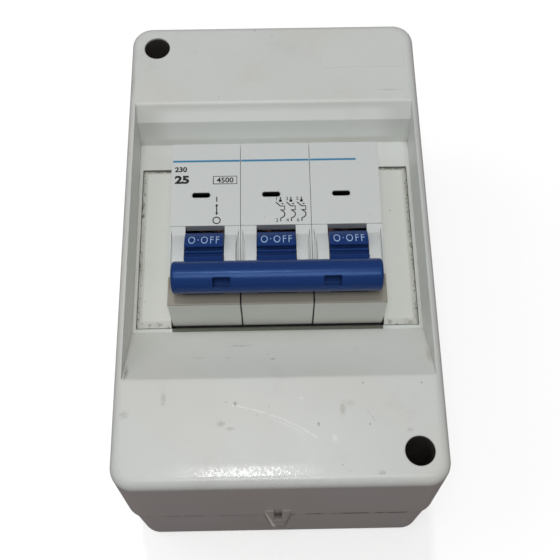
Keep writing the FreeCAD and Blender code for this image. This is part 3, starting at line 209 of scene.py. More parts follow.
class Graph:
    """Adds nodes to a tree and feeds their sockets with values or with other sockets."""

    def __init__(self, tree):
        self.tree = tree
        self.count = 0

    def feed(self, socket, value):
        if isinstance(value, bpy.types.NodeSocket):
            self.tree.links.new(value, socket)
        else:
            socket.default_value = value

    def add(self, kind, inputs=None, **settings):
        made = self.tree.nodes.new(kind)
        made.location = (self.count % 8 * 190, -(self.count // 8) * 260)
        self.count += 1
        for name, value in settings.items():
            setattr(made, name, value)
        for key, value in (inputs or {}).items():
            self.feed(made.inputs[key], value)
        return made

    def math(self, operation, first, second=0.0, clamp=False):
        made = self.add("ShaderNodeMath", {0: first, 1: second}, operation=operation, use_clamp=clamp)
        return made.outputs[0]

    def plus(self, first, second, clamp=False):
        return self.math("ADD", first, second, clamp)

    def minus(self, first, second, clamp=False):
        return self.math("SUBTRACT", first, second, clamp)

    def times(self, first, *others, clamp=False):
        for other in others[:-1]:
            first = self.math("MULTIPLY", first, other)
        return self.math("MULTIPLY", first, others[-1], clamp)

    def over(self, first, second):
        return self.math("DIVIDE", first, second)

    def largest(self, first, *others, clamp=False):
        for other in others[:-1]:
            first = self.math("MAXIMUM", first, other)
        return self.math("MAXIMUM", first, others[-1], clamp)

    def below(self, value, level):
        return self.math("LESS_THAN", value, level)

    def above(self, value, level):
        return self.math("GREATER_THAN", value, level)

    def unsigned(self, value):
        return self.math("ABSOLUTE", value)

    def away(self, value, level):
        """How far a value is from a level, on either side."""
        return self.unsigned(self.minus(value, level))

    def centred(self, value, amount):
        """A noise value moved to lie about zero, and scaled."""
        return self.times(self.minus(value, 0.5), amount)

    def distance(self, east, north):
        """The length of a step east and a step north."""
        return self.math("SQRT", self.plus(self.times(east, east), self.times(north, north)))

    def ramp(self, value, low, high, to_low=0.0, to_high=1.0):
        """A smooth step of a value from one level to another."""
        made = self.add("ShaderNodeMapRange", interpolation_type="SMOOTHSTEP")
        for name, number in (("Value", value), ("From Min", low), ("From Max", high),
                             ("To Min", to_low), ("To Max", to_high)):
            self.feed(made.inputs[name], number)
        return made.outputs["Result"]

    def tint(self, factor, first, second, blend="MIX"):
        """Mix two colours."""
        made = self.add("ShaderNodeMix", data_type="RGBA", blend_type=blend)
        self.feed(made.inputs[0], factor)
        self.feed(made.inputs[6], first)
        self.feed(made.inputs[7], second)
        return made.outputs[2]

    def noise(self, place, scale, detail=2.0, roughness=0.5):
        made = self.add("ShaderNodeTexNoise", {
            "Vector": place, "Scale": scale, "Detail": detail, "Roughness": roughness})
        return made.outputs["Fac"]

    def mapped(self, place, location=(0, 0, 0), scale=(1, 1, 1)):
        made = self.add("ShaderNodeMapping", {"Vector": place, "Location": location, "Scale": scale})
        return made.outputs[0]

    def axes(self, place):
        """The parts of a place: across, along and up."""
        return tuple(self.add("ShaderNodeSeparateXYZ", {0: place}).outputs)


def grey(level):
    return (level, level, level, 1.0)


def colour(red, green, blue):
    return (red, green, blue, 1.0)


def rgba(value):
    return (*value, 1.0)


def shader_group(name, inputs, outputs):
    """An empty shader group with named sockets; returns its graph, its inputs and its output node."""
    tree = bpy.data.node_groups.new(name, "ShaderNodeTree")
    for kind, direction, sockets in (("in", "INPUT", inputs), ("out", "OUTPUT", outputs)):
        for label, socket_type, default in sockets:
            socket = tree.interface.new_socket(label, in_out=direction, socket_type=socket_type)
            if default is not None and kind == "in":
                socket.default_value = default
    graph = Graph(tree)
    entry = graph.add("NodeGroupInput").outputs
    return graph, entry, graph.add("NodeGroupOutput")


FLOAT = "NodeSocketFloat"
COLOUR = "NodeSocketColor"
VECTOR = "NodeSocketVector"


def object_place(graph):
    """Object coordinates in millimetres."""
    coordinates = graph.add("ShaderNodeTexCoord").outputs["Object"]
    made = graph.add("ShaderNodeVectorMath", {0: coordinates}, operation="SCALE")
    made.inputs["Scale"].default_value = 1 / MM
    return made.outputs[0]


def moulding_group():
    """Moulded plastic: slow changes of tone, fine spark-eroded grain and slightly rounded edges."""
    graph, entry, exit_node = shader_group("Moulding", [
        ("Color", COLOUR, grey(0.5)),
        ("Tone", FLOAT, 0.04),
        ("Grain Size", FLOAT, 0.35),
        ("Grain Depth", FLOAT, 0.15),
        ("Edge Radius", FLOAT, 0.3),
        ("Base Roughness", FLOAT, 0.45),
    ], [("Color", COLOUR, None), ("Roughness", FLOAT, None), ("Normal", VECTOR, None)])
    place = object_place(graph)
    slow = graph.noise(place, 0.045, 3.0, 0.55)
    bright = graph.plus(graph.times(graph.centred(slow, entry["Tone"]), 2.0), 1.0)
    shade = graph.add("ShaderNodeVectorMath", {0: entry["Color"]}, operation="SCALE")
    graph.feed(shade.inputs["Scale"], bright)
    graph.feed(exit_node.inputs["Color"], shade.outputs[0])
    frequency = graph.over(1.0, entry["Grain Size"])
    grain = graph.noise(place, frequency, 4.0, 0.6)
    rough = graph.plus(entry["Base Roughness"], graph.centred(grain, 0.16))
    wide = graph.centred(graph.noise(place, 0.12, 3.0), 0.10)
    graph.feed(exit_node.inputs["Roughness"], graph.plus(rough, wide, clamp=True))
    rounded = graph.add("ShaderNodeBevel", samples=6)
    graph.feed(rounded.inputs["Radius"], graph.times(entry["Edge Radius"], MM))
    bump = graph.add("ShaderNodeBump", {"Distance": 0.02 * MM, "Height": grain, "Normal": rounded.outputs[0]})
    graph.feed(bump.inputs["Strength"], entry["Grain Depth"])
    graph.feed(exit_node.inputs["Normal"], bump.outputs[0])
    return graph.tree


def soiling_group():
    """Soiling from handling: dirt and painted shade in the corners, specks and faint smudges."""
    graph, entry, exit_node = shader_group("Soiling", [
        ("Color", COLOUR, grey(0.5)),
        ("Dirt Color", COLOUR, colour(0.28, 0.24, 0.17)),
        ("Corners", FLOAT, 0.5),
        ("Corner Reach", FLOAT, 3.0),
        ("Specks", FLOAT, 0.5),
        ("Smudges", FLOAT, 0.3),
    ], [("Color", COLOUR, None), ("Dirt", FLOAT, None)])
    place = object_place(graph)
    # Painted shade and dirt in the corners: darker where ambient occlusion finds the surface closed in, in
    # patches.
    hollow = graph.add("ShaderNodeAmbientOcclusion", samples=8)
    graph.feed(hollow.inputs["Distance"], graph.times(entry["Corner Reach"], MM))
    closed = graph.minus(1.0, hollow.outputs["AO"])
    patchy = graph.ramp(graph.noise(place, 0.5, 4.0, 0.6), 0.32, 0.68, 0.35, 1.0)
    corner = graph.times(graph.ramp(closed, 0.35, 0.95), patchy, entry["Corners"])
    cells = graph.add("ShaderNodeTexVoronoi", {"Vector": place, "Scale": 0.42, "Randomness": 1.0})
    chance = graph.add("ShaderNodeSeparateColor", {0: cells.outputs["Color"]}).outputs[0]
    near = graph.below(cells.outputs["Distance"], graph.minus(graph.times(chance, 0.16), 0.045))
    crowd = graph.ramp(graph.noise(graph.mapped(place, (31.0, 7.0, 3.0)), 0.035, 2.0), 0.42, 0.66)
    speck = graph.times(near, crowd, entry["Specks"])
    cloud = graph.ramp(graph.noise(graph.mapped(place, (5.0, 90.0, 0.0)), 0.06, 5.0, 0.65), 0.52, 0.80)
    smudge = graph.times(cloud, entry["Smudges"])
    dirt = graph.largest(corner, speck, smudge, clamp=True)
    graph.feed(exit_node.inputs["Color"], graph.tint(dirt, entry["Color"], entry["Dirt Color"]))
    graph.feed(exit_node.inputs["Dirt"], dirt)
    return graph.tree


def scratch_group():
    """One arc-shaped scratch, drawn by its centre, its radius and the angles at its ends."""
    graph, entry, exit_node = shader_group("Arc scratch", [
        ("Color", COLOUR, grey(0.5)),
        ("Scratch Color", COLOUR, grey(0.8)),
        ("Center X", FLOAT, 0.0),
        ("Center Y", FLOAT, 0.0),
        ("Radius", FLOAT, 20.0),
        ("From", FLOAT, 0.0),
        ("To", FLOAT, 1.0),
        ("Width", FLOAT, 0.25),
        ("Strength", FLOAT, 0.7),
    ], [("Color", COLOUR, None)])
    place = object_place(graph)
    across, along, _ = graph.axes(place)
    east = graph.minus(across, entry["Center X"])
    north = graph.minus(along, entry["Center Y"])
    ragged = graph.centred(graph.noise(place, 1.4, 3.0), 0.6)
    off = graph.away(graph.plus(graph.distance(east, north), ragged), entry["Radius"])
    line = graph.minus(1.0, graph.over(off, entry["Width"]), clamp=True)
    angle = graph.math("ARCTAN2", north, east)
    after = graph.above(angle, entry["From"])
    before = graph.below(angle, entry["To"])
    broken = graph.ramp(graph.noise(place, 2.2, 2.0), 0.36, 0.56)
    mask = graph.times(line, broken, graph.times(after, before), entry["Strength"], clamp=True)
    graph.feed(exit_node.inputs["Color"], graph.tint(mask, entry["Color"], entry["Scratch Color"]))
    return graph.tree


def spot_group():
    """One ragged spot, drawn by its centre and its half sizes."""
    graph, entry, exit_node = shader_group("Spot", [
        ("Color", COLOUR, grey(0.5)),
        ("Spot Color", COLOUR, grey(0.2)),
        ("Center X", FLOAT, 0.0),
        ("Center Y", FLOAT, 0.0),
        ("Half Width", FLOAT, 0.5),
        ("Half Height", FLOAT, 0.5),
        ("Strength", FLOAT, 0.5),
    ], [("Color", COLOUR, None)])
    place = object_place(graph)
    across, along, _ = graph.axes(place)
    east = graph.over(graph.minus(across, entry["Center X"]), entry["Half Width"])
    north = graph.over(graph.minus(along, entry["Center Y"]), entry["Half Height"])
    ragged = graph.centred(graph.noise(place, 2.4, 5.0, 0.7), 4.0)
    mask = graph.ramp(graph.plus(graph.distance(east, north), ragged), 0.2, 1.3, 1.0, 0.0)
    mask = graph.times(mask, entry["Strength"], clamp=True)
    graph.feed(exit_node.inputs["Color"], graph.tint(mask, entry["Color"], entry["Spot Color"]))
    return graph.tree


def metal_group():
    """Rolled or plated metal: drawn streaks, cloudy plating and rounded edges."""
    graph, entry, exit_node = shader_group("Rolled metal", [
        ("Color", COLOUR, grey(0.6)),
        ("Stain Color", COLOUR, grey(0.3)),
        ("Stain", FLOAT, 0.25),
        ("Streak", FLOAT, 0.3),
        ("Base Roughness", FLOAT, 0.35),
    ], [("Color", COLOUR, None), ("Roughness", FLOAT, None), ("Normal", VECTOR, None)])
    place = object_place(graph)
    drawn = graph.noise(graph.mapped(place, scale=(0.3, 4.0, 4.0)), 1.6, 3.0)
    cloudy = graph.ramp(graph.noise(place, 0.35, 4.0, 0.6), 0.40, 0.72)
    stain = graph.times(cloudy, entry["Stain"])
    graph.feed(exit_node.inputs["Color"], graph.tint(stain, entry["Color"], entry["Stain Color"]))
    streak = graph.centred(drawn, entry["Streak"])
    rough = graph.plus(graph.plus(entry["Base Roughness"], streak), graph.times(stain, 0.4))
    graph.feed(exit_node.inputs["Roughness"], graph.largest(rough, 0.08))
    rounded = graph.add("ShaderNodeBevel", {"Radius": 0.15 * MM}, samples=4)
    bump = graph.add("ShaderNodeBump", {
        "Strength": 0.25, "Distance": 0.02 * MM, "Height": drawn, "Normal": rounded.outputs[0]})
    graph.feed(exit_node.inputs["Normal"], bump.outputs[0])
    return graph.tree


def place_group(graph, tree, values):
    """Put a shader group into a material with its own values."""
    made = graph.add("ShaderNodeGroup", node_tree=tree)
    for name, value in values.items():
        graph.feed(made.inputs[name], value)
    return made.outputs


def new_material(name, metallic=0.0, specular=0.5):
    """A material with only a Principled shader; returns it, its graph and the shader's inputs."""
    material = bpy.data.materials.new(name)
    material.use_nodes = True
    material.node_tree.nodes.clear()
    graph = Graph(material.node_tree)
    surface = graph.add("ShaderNodeBsdfPrincipled", {
        "Metallic": metallic, "Specular IOR Level": specular})
    output = graph.add("ShaderNodeOutputMaterial")
    graph.feed(output.inputs["Surface"], surface.outputs[0])
    return material, graph, surface.inputs


def connect(graph, shader, outputs):
    """Feed the shader with the colour, the roughness and the normal of a shader group."""
    for socket, output in (("Base Color", "Color"), ("Roughness", "Roughness"), ("Normal", "Normal")):
        graph.feed(shader[socket], outputs[output])


def soil_and_mould(groups, graph, shader, base, soiling, moulding):
    """Run a colour through the soiling and the moulding into the shader."""
    soiled = place_group(graph, groups["soiling"], {"Color": base, **soiling})
    connect(graph, shader, place_group(graph, groups["moulding"], {"Color": soiled["Color"], **moulding}))


def plain_plastic(groups, name, base, tone=0.03, grain=0.3, depth=0.15, edge=0.25, roughness=0.45,
                  corners=0.2, specks=0.0, specular=0.5, specular_tint=(1.0, 1.0, 1.0)):
    """A moulded plastic with its own colour, grain and soiling."""
    material, graph, shader = new_material(name, specular=specular)
    shader["Specular Tint"].default_value = rgba(specular_tint)
    soiling = {"Corners": corners, "Specks": specks, "Smudges": 0.0}
    moulding = {"Tone": tone, "Grain Size": grain, "Grain Depth": depth, "Edge Radius": edge,
                "Base Roughness": roughness}
    soil_and_mould(groups, graph, shader, base, soiling, moulding)
    return material


def metal(groups, name, base, stain, share=0.25, streak=0.25, roughness=0.32):
    """A rolled or plated metal, stained over a share of its surface."""
    material, graph, shader = new_material(name, metallic=1.0)
    connect(graph, shader, place_group(graph, groups["metal"], {
        "Color": base, "Stain Color": stain, "Stain": share, "Streak": streak, "Base Roughness": roughness}))
    return material


def ink(name, base, roughness=0.5):
    """Printing ink: almost even, with a little wear."""
    material, graph, shader = new_material(name, specular=0.2)
    worn = graph.ramp(graph.noise(object_place(graph), 3.0, 3.0), 0.35, 0.8, 0.0, 0.12)
    graph.feed(shader["Base Color"], graph.tint(worn, base, grey(0.45)))
    graph.feed(shader["Roughness"], graph.plus(worn, roughness))
    return material


def seam_and_lug(graph, place, tone, seam_dirt):
    """Painted shade and dirt along the seam; on the sealing lug, painted shade and a painted highlight on its
    left edge.
    """
    across, along, up = graph.axes(place)
    on_lug = graph.below(along, -COVER_END - LUG_PROUD)
    # Painted shade and dirt along the seam, weaker towards the left and left off the lug.
    dirt = graph.times(graph.ramp(graph.away(up, SEAM), 0.8, 1.7, 1.0, 0.0),
                       graph.ramp(graph.noise(place, 0.28, 4.0), 0.40, 0.52),
                       graph.ramp(across, -8.0, 6.0, 0.45, 1.0),
                       graph.minus(1.0, on_lug))
    tone = graph.tint(graph.times(dirt, seam_dirt), tone, rgba(SEAM_GRIME_AND_SHADE))
    # Painted shade darkens the lug's face.
    tone = graph.tint(on_lug, tone, rgba(LUG_SHADE), blend="MULTIPLY")
    # A painted highlight on a strip along the lug's left edge.
    lean = graph.times(graph.minus(up, SEAM), LUG_LEAN)
    from_edge = graph.plus(graph.plus(across, lean), LUG_EDGE)
    worn = graph.below(graph.unsigned(from_edge), LUG_HIGHLIGHT_HALF)
    return graph.tint(graph.times(worn, on_lug), tone, rgba(LUG_HIGHLIGHT))


def upper_slope(graph, place, tone):
    """The upper slope of the recess above the breaker, made paler as painted light."""
    across, along, up = graph.axes(place)
    lit_slope = graph.times(graph.ramp(up, RECESS_FLOOR + 0.2, RECESS_FLOOR + 1.5),
                        graph.ramp(up, PLATEAU - 2.2, PLATEAU - 0.4, 1.0, 0.0),
                        graph.above(along, SLOPE_FROM),
                        graph.ramp(graph.unsigned(across), SLOPE_HALF - 7.0, SLOPE_HALF + 2.0, 1.0, 0.0))
    return graph.tint(lit_slope, tone, rgba(SLOPE_LIGHT))


def scratches_and_spots(groups, graph, tone):
    """The cover's scratches and spots, one group for each."""
    for centre_x, centre_y, radius, start, end, width, strength, pale in SCRATCHES:
        tone = place_group(graph, groups["scratch"], {
            "Color": tone, "Scratch Color": grey(pale), "Center X": centre_x, "Center Y": centre_y,
            "Radius": radius, "From": start, "To": end, "Width": width, "Strength": strength})["Color"]
    for spot_x, spot_y, half_width, half_height, strength, kind in SPOTS:
        tone = place_group(graph, groups["spot"], {
            "Color": tone, "Spot Color": rgba(SPOT_COLOURS[kind]), "Center X": spot_x, "Center Y": spot_y,
            "Half Width": half_width, "Half Height": half_height, "Strength": strength})["Color"]
    return tone


def wells_and_sill(graph, place, tone):
    """Painted shade on the walls of the screw wells, and painted shade on the sill beside and under the nose.
    """
    across, along, up = graph.axes(place)
    inside = 0.0
    for well_x, well_y in WELLS:
        out = graph.distance(graph.minus(across, well_x), graph.minus(along, well_y))
        inside = graph.largest(inside, graph.below(out, WELL_RADIUS))
    deep = graph.ramp(up, PLATEAU - 0.9, PLATEAU - 0.15, 1.0, 0.0)
    tone = graph.tint(graph.times(inside, deep), tone, rgba(WELL_SHADE))
    sill = graph.times(graph.below(graph.unsigned(across), SILL_HALF), graph.above(along, SILL_FOOT),
                       graph.below(along, 0.0), 0.95)
    return graph.tint(sill, tone, rgba(SILL_SHADE))


def polished_edge(graph, place):
    """A mask of the flecks that hands have polished along the cover's lower edge."""
    across, along, up = graph.axes(place)
    handled = graph.unsigned(graph.plus(across, POLISH_SHIFT))
    return graph.times(graph.ramp(along, POLISH_FROM, POLISH_FROM - 2.5),
                       graph.ramp(up, PLATEAU - 3.0, PLATEAU - 1.0),
                       graph.ramp(graph.noise(place, 1.3, 4.0, 0.7), 0.42, 0.56, 0.35, 1.0),
                       graph.ramp(handled, 6.0, 22.0, 1.0, 0.15))


def enclosure_finish(groups, settings):
    """The enclosure's plastic: aged in clouds, soiled, scratched, polished along its lower edge, with painted
    shade and light.
    """
    material, graph, shader = new_material("Enclosure plastic", specular=0.4)
    place = object_place(graph)
    aged = graph.ramp(graph.noise(graph.mapped(place, (12.0, 3.0, 1.0)), 0.03, 3.0), 0.35, 0.7, 0.0, 0.5)
    tone = graph.tint(aged, rgba(settings.enclosure_plastic), rgba(settings.aged_plastic))
    tone = seam_and_lug(graph, place, tone, settings.seam_dirt)
    tone = upper_slope(graph, place, tone)
    tone = place_group(graph, groups["soiling"], {
        "Color": tone, "Corners": settings.corner_dirt, "Specks": settings.specks,
        "Smudges": settings.smudges})["Color"]
    tone = scratches_and_spots(groups, graph, tone)
    tone = wells_and_sill(graph, place, tone)
    moulded = place_group(graph, groups["moulding"], {
        "Color": tone, "Tone": 0.03, "Grain Size": 0.4, "Grain Depth": 0.2,
        "Edge Radius": 0.5, "Base Roughness": settings.roughness})
    graph.feed(shader["Base Color"], moulded["Color"])
    polished = polished_edge(graph, place)
    rough = graph.minus(moulded["Roughness"], graph.times(polished, settings.polish))
    graph.feed(shader["Roughness"], graph.largest(rough, 0.1))
    pits = graph.add("ShaderNodeBump", {
        "Distance": 0.06 * MM, "Height": graph.noise(place, 1.1, 4.0, 0.6), "Normal": moulded["Normal"]})
    graph.feed(pits.inputs["Strength"], graph.times(polished, 0.6))
    graph.feed(shader["Normal"], pits.outputs[0])
    return material


def from_pole_middle(graph, across, shift):
    """How far a point lies across from the middle of its pole, when the middles move by a shift."""
    shifted = graph.minus(across, pole_x(2) / MM + shift - PITCH * 1.5)
    return graph.away(graph.math("MODULO", shifted, PITCH), PITCH / 2)


def case_finish(groups, settings):
    """The pole cases' plastic: painted shade in the slots and in the gap, a warmer nose, the bar's painted
    shadow and dark joints.
    """
    material, graph, shader = new_material("Pole plastic")
    across, along, up = graph.axes(object_place(graph))
    # Painted shade: black in the depth of the indicator slots.
    slots = graph.times(graph.below(graph.away(along, SLOT[1]), SLOT_HALF[1]),
                        graph.below(from_pole_middle(graph, across, SLOT[0]), SLOT_HALF[0]),
                        graph.ramp(up, FACE - 0.45, FACE - 0.15, 1.0, 0.0))
    base = graph.tint(slots, rgba(settings.case_plastic), grey(0.01))
    nose = graph.ramp(along, NOSE_TOP, NOSE_TOP - 1.0)
    base = graph.tint(nose, base, rgba(NOSE_WARMTH), blend="MULTIPLY")
    shaded = graph.times(graph.ramp(along, BAR_FOOT, BAR_FOOT - 0.6), graph.ramp(up, FACE - 0.9, FACE - 0.5))
    base = graph.tint(shaded, base, rgba(BAR_SHADE), blend="MULTIPLY")
    joints = graph.times(graph.above(from_pole_middle(graph, across, 0.0), PITCH / 2 - JOINT_HALF),
                         graph.below(graph.unsigned(across), PITCH), nose)
    base = graph.tint(joints, base, grey(0.02))
    # Painted shade: near black in the gap under the foot of the nose.
    gap = graph.times(graph.ramp(graph.away(along, NOSE_FOOT - 0.5), 0.6, 0.9, 1.0, 0.0),
                      graph.ramp(up, NOSE_GAP - 0.3, NOSE_GAP, 1.0, 0.0))
    base = graph.tint(gap, base, grey(0.015))
    soiling = {"Corners": 0.1, "Specks": 0.3, "Smudges": 0.0}
    moulding = {"Tone": 0.02, "Grain Size": 0.3, "Grain Depth": 0.12, "Edge Radius": 0.22,
                "Base Roughness": 0.36}
    soil_and_mould(groups, graph, shader, base, soiling, moulding)
    return material


def blank_finish(groups, settings):
    """The blanking plates' plastic: dirt flecks and a faint band of painted shade along their edges, packed
    dirt in the upper gap.
    """
    material, graph, shader = new_material("Blank plastic")
    place = object_place(graph)
    across, along, _ = graph.axes(place)
    low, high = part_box("blanking_plate_right")
    end, top, foot = high.x / MM, high.y / MM, low.y / MM
    edge = graph.largest(graph.ramp(graph.unsigned(across), end - 1.3, end - 0.2),
                         graph.ramp(along, top - 2.6, top - 1.2),
                         graph.ramp(along, foot + 1.3, foot + 2.3, 0.5, 0.0))
    clumps = graph.noise(place, 0.8, 5.0, 0.7)
    # A faint band of painted shade along the edges' bevels, with dirt flecks over it.
    thin = graph.ramp(graph.noise(graph.mapped(place, (9.0, 2.0, 4.0)), 0.15, 2.0), 0.35, 0.65, 0.12, 0.42)
    flecks_and_shade = graph.times(edge, graph.largest(graph.ramp(clumps, 0.50, 0.60), thin))
    packed = graph.times(graph.ramp(along, top - 2.4, top - 1.4), graph.ramp(clumps, 0.40, 0.54, 0.25, 1.0))
    base = graph.tint(graph.largest(flecks_and_shade, packed), rgba(settings.blank_plastic), rgba(GAP_GRIME_AND_SHADE))
    soiling = {"Corners": 0.5, "Specks": 0.6, "Smudges": 0.2}
    moulding = {"Tone": 0.04, "Grain Size": 0.3, "Grain Depth": 0.15, "Edge Radius": 0.3,
                "Base Roughness": 0.5}
    soil_and_mould(groups, graph, shader, base, soiling, moulding)
    return material


# Making meshes -----------------------------------------------------------------------------

def add_object(name, data):
    """Put an object with its data into the scene."""
    made = bpy.data.objects.new(name, data)
    bpy.context.scene.collection.objects.link(made)
    return made


def mesh_from(form, name):
    """Turn a bmesh into a mesh and free it."""
    mesh = bpy.data.meshes.new(name)
    form.to_mesh(mesh)
    form.free()
    return mesh


def finish_piece(name, mesh, body, material):
    """Link a mesh as a piece of the object, with its finish, riding on a body."""
    piece = add_object(name, mesh)
    mesh.materials.clear()
    mesh.materials.append(material)
    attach(piece, body)
    return piece


def cleaned(mesh):
    """Merge doubles and point the faces outwards."""
    form = bmesh.new()
    form.from_mesh(mesh)
    bmesh.ops.remove_doubles(form, verts=form.verts, dist=0.001 * MM)
    bmesh.ops.recalc_face_normals(form, faces=form.faces)
    form.to_mesh(mesh)
    form.free()
    return mesh


def evaluated_mesh(piece, name):
    """The mesh that an object shows with its modifiers, as a plain mesh; the object is removed."""
    bpy.context.view_layer.update()
    graph = bpy.context.evaluated_depsgraph_get()
    mesh = bpy.data.meshes.new_from_object(piece.evaluated_get(graph))
    mesh.name = name
    bpy.data.objects.remove(piece)
    return mesh


def joined(name, meshes):
    """Several meshes as one."""
    form = bmesh.new()
    for mesh in meshes:
        form.from_mesh(mesh)
    return cleaned(mesh_from(form, name))


def extent(points, axis):
    """The lowest and the highest place of points along an axis."""
    places = [point.co[axis] for point in points]
    return min(places), max(places)


def lettering(text, height, width=None, weight=0.0, spacing=1.0, thickness=INK_THICKNESS):
    """Letters as thin plates about the origin, facing +Z, squeezed to a width if one is given."""
    curve = bpy.data.curves.new("Letters", "FONT")
    curve.body = text
    curve.size = height
    curve.align_x = "CENTER"
    curve.align_y = "CENTER"
    curve.extrude = thickness / 2
    curve.offset = weight
    curve.space_character = spacing
    curve.resolution_u = 4
    mesh = evaluated_mesh(add_object("Letters", curve), "Letters")
    low_x, high_x = extent(mesh.vertices, 0)
    low_y, high_y = extent(mesh.vertices, 1)
    stretch_y = height / (high_y - low_y)
    stretch_x = width / (high_x - low_x) if width else stretch_y
    centre = Vector(((low_x + high_x) / 2, (low_y + high_y) / 2, 0))
    mesh.transform(Matrix.Diagonal((stretch_x, stretch_y, 1, 1)) @ Matrix.Translation(-centre))
    return mesh


def strokes(lines, width, thickness=INK_THICKNESS):
    """Lines of ink: each is a list of points, drawn as a thin rounded ribbon facing +Z."""
    curve = bpy.data.curves.new("Strokes", "CURVE")
    curve.dimensions = "3D"
    curve.bevel_depth = width / 2
    curve.bevel_resolution = 1
    curve.use_fill_caps = True
    for points in lines:
        spline = curve.splines.new("POLY")
        spline.points.add(len(points) - 1)
        for point, (across, along) in zip(spline.points, points):
            point.co = (across, along, 0, 1)
    mesh = evaluated_mesh(add_object("Strokes", curve), "Strokes")
    mesh.transform(Matrix.Diagonal((1, 1, thickness / width, 1)))
    return mesh


def slab(low, high, thickness, level=0.0):
    """A bmesh of a flat box, half of its thickness above a level and half below it."""
    form = bmesh.new()
    bmesh.ops.create_cube(form, size=1)
    scale = Matrix.Diagonal((high[0] - low[0], high[1] - low[1], thickness, 1))
    middle = Matrix.Translation(((low[0] + high[0]) / 2, (low[1] + high[1]) / 2, level))
    bmesh.ops.transform(form, matrix=middle @ scale, verts=form.verts)
    return form


def arc(centre, radius, start, end, steps):
    """Points along an arc, angles in degrees."""
    points = []
    for step in range(steps + 1):
        angle = math.radians(start + (end - start) * step / steps)
        points.append((centre[0] + radius * math.cos(angle), centre[1] + radius * math.sin(angle)))
    return points


def moved(mesh, across=0.0, along=0.0, up=0.0):
    mesh.transform(Matrix.Translation((across, along, up)))
    return mesh


def wrapped(mesh, middle_x, angle, radius):
    """Bend a flat mesh round the toggles' axis; angle 0 is straight up and grows towards -Y."""
    form = bmesh.new()
    form.from_mesh(mesh)
    low, high = extent(form.verts, 1)
    rows = max(2, int((high - low) / (0.3 * MM)))
    for row in range(1, rows):
        level = low + (high - low) * row / rows
        geometry = form.verts[:] + form.edges[:] + form.faces[:]
        bmesh.ops.bisect_plane(form, geom=geometry, plane_co=(0, level, 0), plane_no=(0, 1, 0))
    for vertex in form.verts:
        across, along, up = vertex.co
        turn = angle - along / radius
        reach = radius + up
        vertex.co = (middle_x + across, PIVOT.y - reach * math.sin(turn), PIVOT.z + reach * math.cos(turn))
    form.to_mesh(mesh)
    form.free()
    return mesh


# Geometry Nodes ----------------------------------------------------------------------------

# Inputs that every tree has: how its form is repeated in the poles, where, and in what finish.
ROW_SOCKETS = (
    ("Poles", "NodeSocketInt", len(POLES)),
    ("Pitch", FLOAT, POLE_PITCH),
    ("Place", VECTOR, (0, 0, 0)),
    ("Finish", "NodeSocketMaterial", None),
)


def geometry_tree(name, *sockets):
    """An empty geometry tree with named inputs; returns its graph, its inputs and its output node."""
    tree = bpy.data.node_groups.new(name, "GeometryNodeTree")
    for label, socket_type, default in sockets + ROW_SOCKETS:
        socket = tree.interface.new_socket(label, in_out="INPUT", socket_type=socket_type)
        if default is not None:
            socket.default_value = default
    tree.interface.new_socket("Geometry", in_out="OUTPUT", socket_type="NodeSocketGeometry")
    graph = Graph(tree)
    entry = graph.add("NodeGroupInput").outputs
    return graph, entry, graph.add("NodeGroupOutput")


def spaced_points(graph, count, step):
    """A row of points along X about the origin."""
    offset = graph.add("ShaderNodeCombineXYZ", {"X": step}).outputs[0]
    row = graph.add("GeometryNodeMeshLine", {"Count": count, "Offset": offset})
    half = graph.times(graph.minus(count, 1.0), -0.5)
    start = graph.add("ShaderNodeCombineXYZ", {"X": graph.times(half, step)}).outputs[0]
    graph.feed(row.inputs["Start Location"], start)
    return row.outputs[0]


def close_tree(graph, entry, exit_node, form):
    """Repeat a form in the poles and end the tree: instances made real, smooth, with their finish."""
    row = spaced_points(graph, entry["Poles"], entry["Pitch"])
    copies = graph.add("GeometryNodeInstanceOnPoints", {"Points": row, "Instance": form}).outputs[0]
    placed = graph.add("GeometryNodeTransform", {"Geometry": copies, "Translation": entry["Place"]})
    real = graph.add("GeometryNodeRealizeInstances", {0: placed.outputs[0]}).outputs[0]
    smooth = graph.add("GeometryNodeSetShadeSmooth", {"Geometry": real}).outputs[0]
    dressed = graph.add("GeometryNodeSetMaterial", {"Geometry": smooth, "Material": entry["Finish"]})
    graph.feed(exit_node.inputs[0], dressed.outputs[0])


def winding_tree():
    """A close helix of round wire, repeated in each pole."""
    graph, entry, exit_node = geometry_tree(
        "Winding", ("Radius", FLOAT, 4.0 * MM), ("Wire", FLOAT, 0.8 * MM), ("Length", FLOAT, 9.0 * MM),
        ("Turns", FLOAT, 6.0), ("Steps", "NodeSocketInt", 22), ("Turn", VECTOR, (0, 0, 0)))
    helix = graph.add("GeometryNodeCurveSpiral", {
        "Resolution": entry["Steps"], "Rotations": entry["Turns"], "Start Radius": entry["Radius"],
        "End Radius": entry["Radius"], "Height": entry["Length"]})
    ring = graph.add("GeometryNodeCurvePrimitiveCircle", {
        "Resolution": 8, "Radius": graph.times(entry["Wire"], 0.5)})
    wire = graph.add("GeometryNodeCurveToMesh", {
        "Curve": helix.outputs[0], "Profile Curve": ring.outputs[0], "Fill Caps": True}).outputs[0]
    half = graph.times(entry["Length"], -0.5)
    lift = graph.add("ShaderNodeCombineXYZ", {"Z": half}).outputs[0]
    centred = graph.add("GeometryNodeTransform", {"Geometry": wire, "Translation": lift}).outputs[0]
    turned = graph.add("GeometryNodeTransform", {"Geometry": centred, "Rotation": entry["Turn"]}).outputs[0]
    close_tree(graph, entry, exit_node, turned)
    return graph.tree


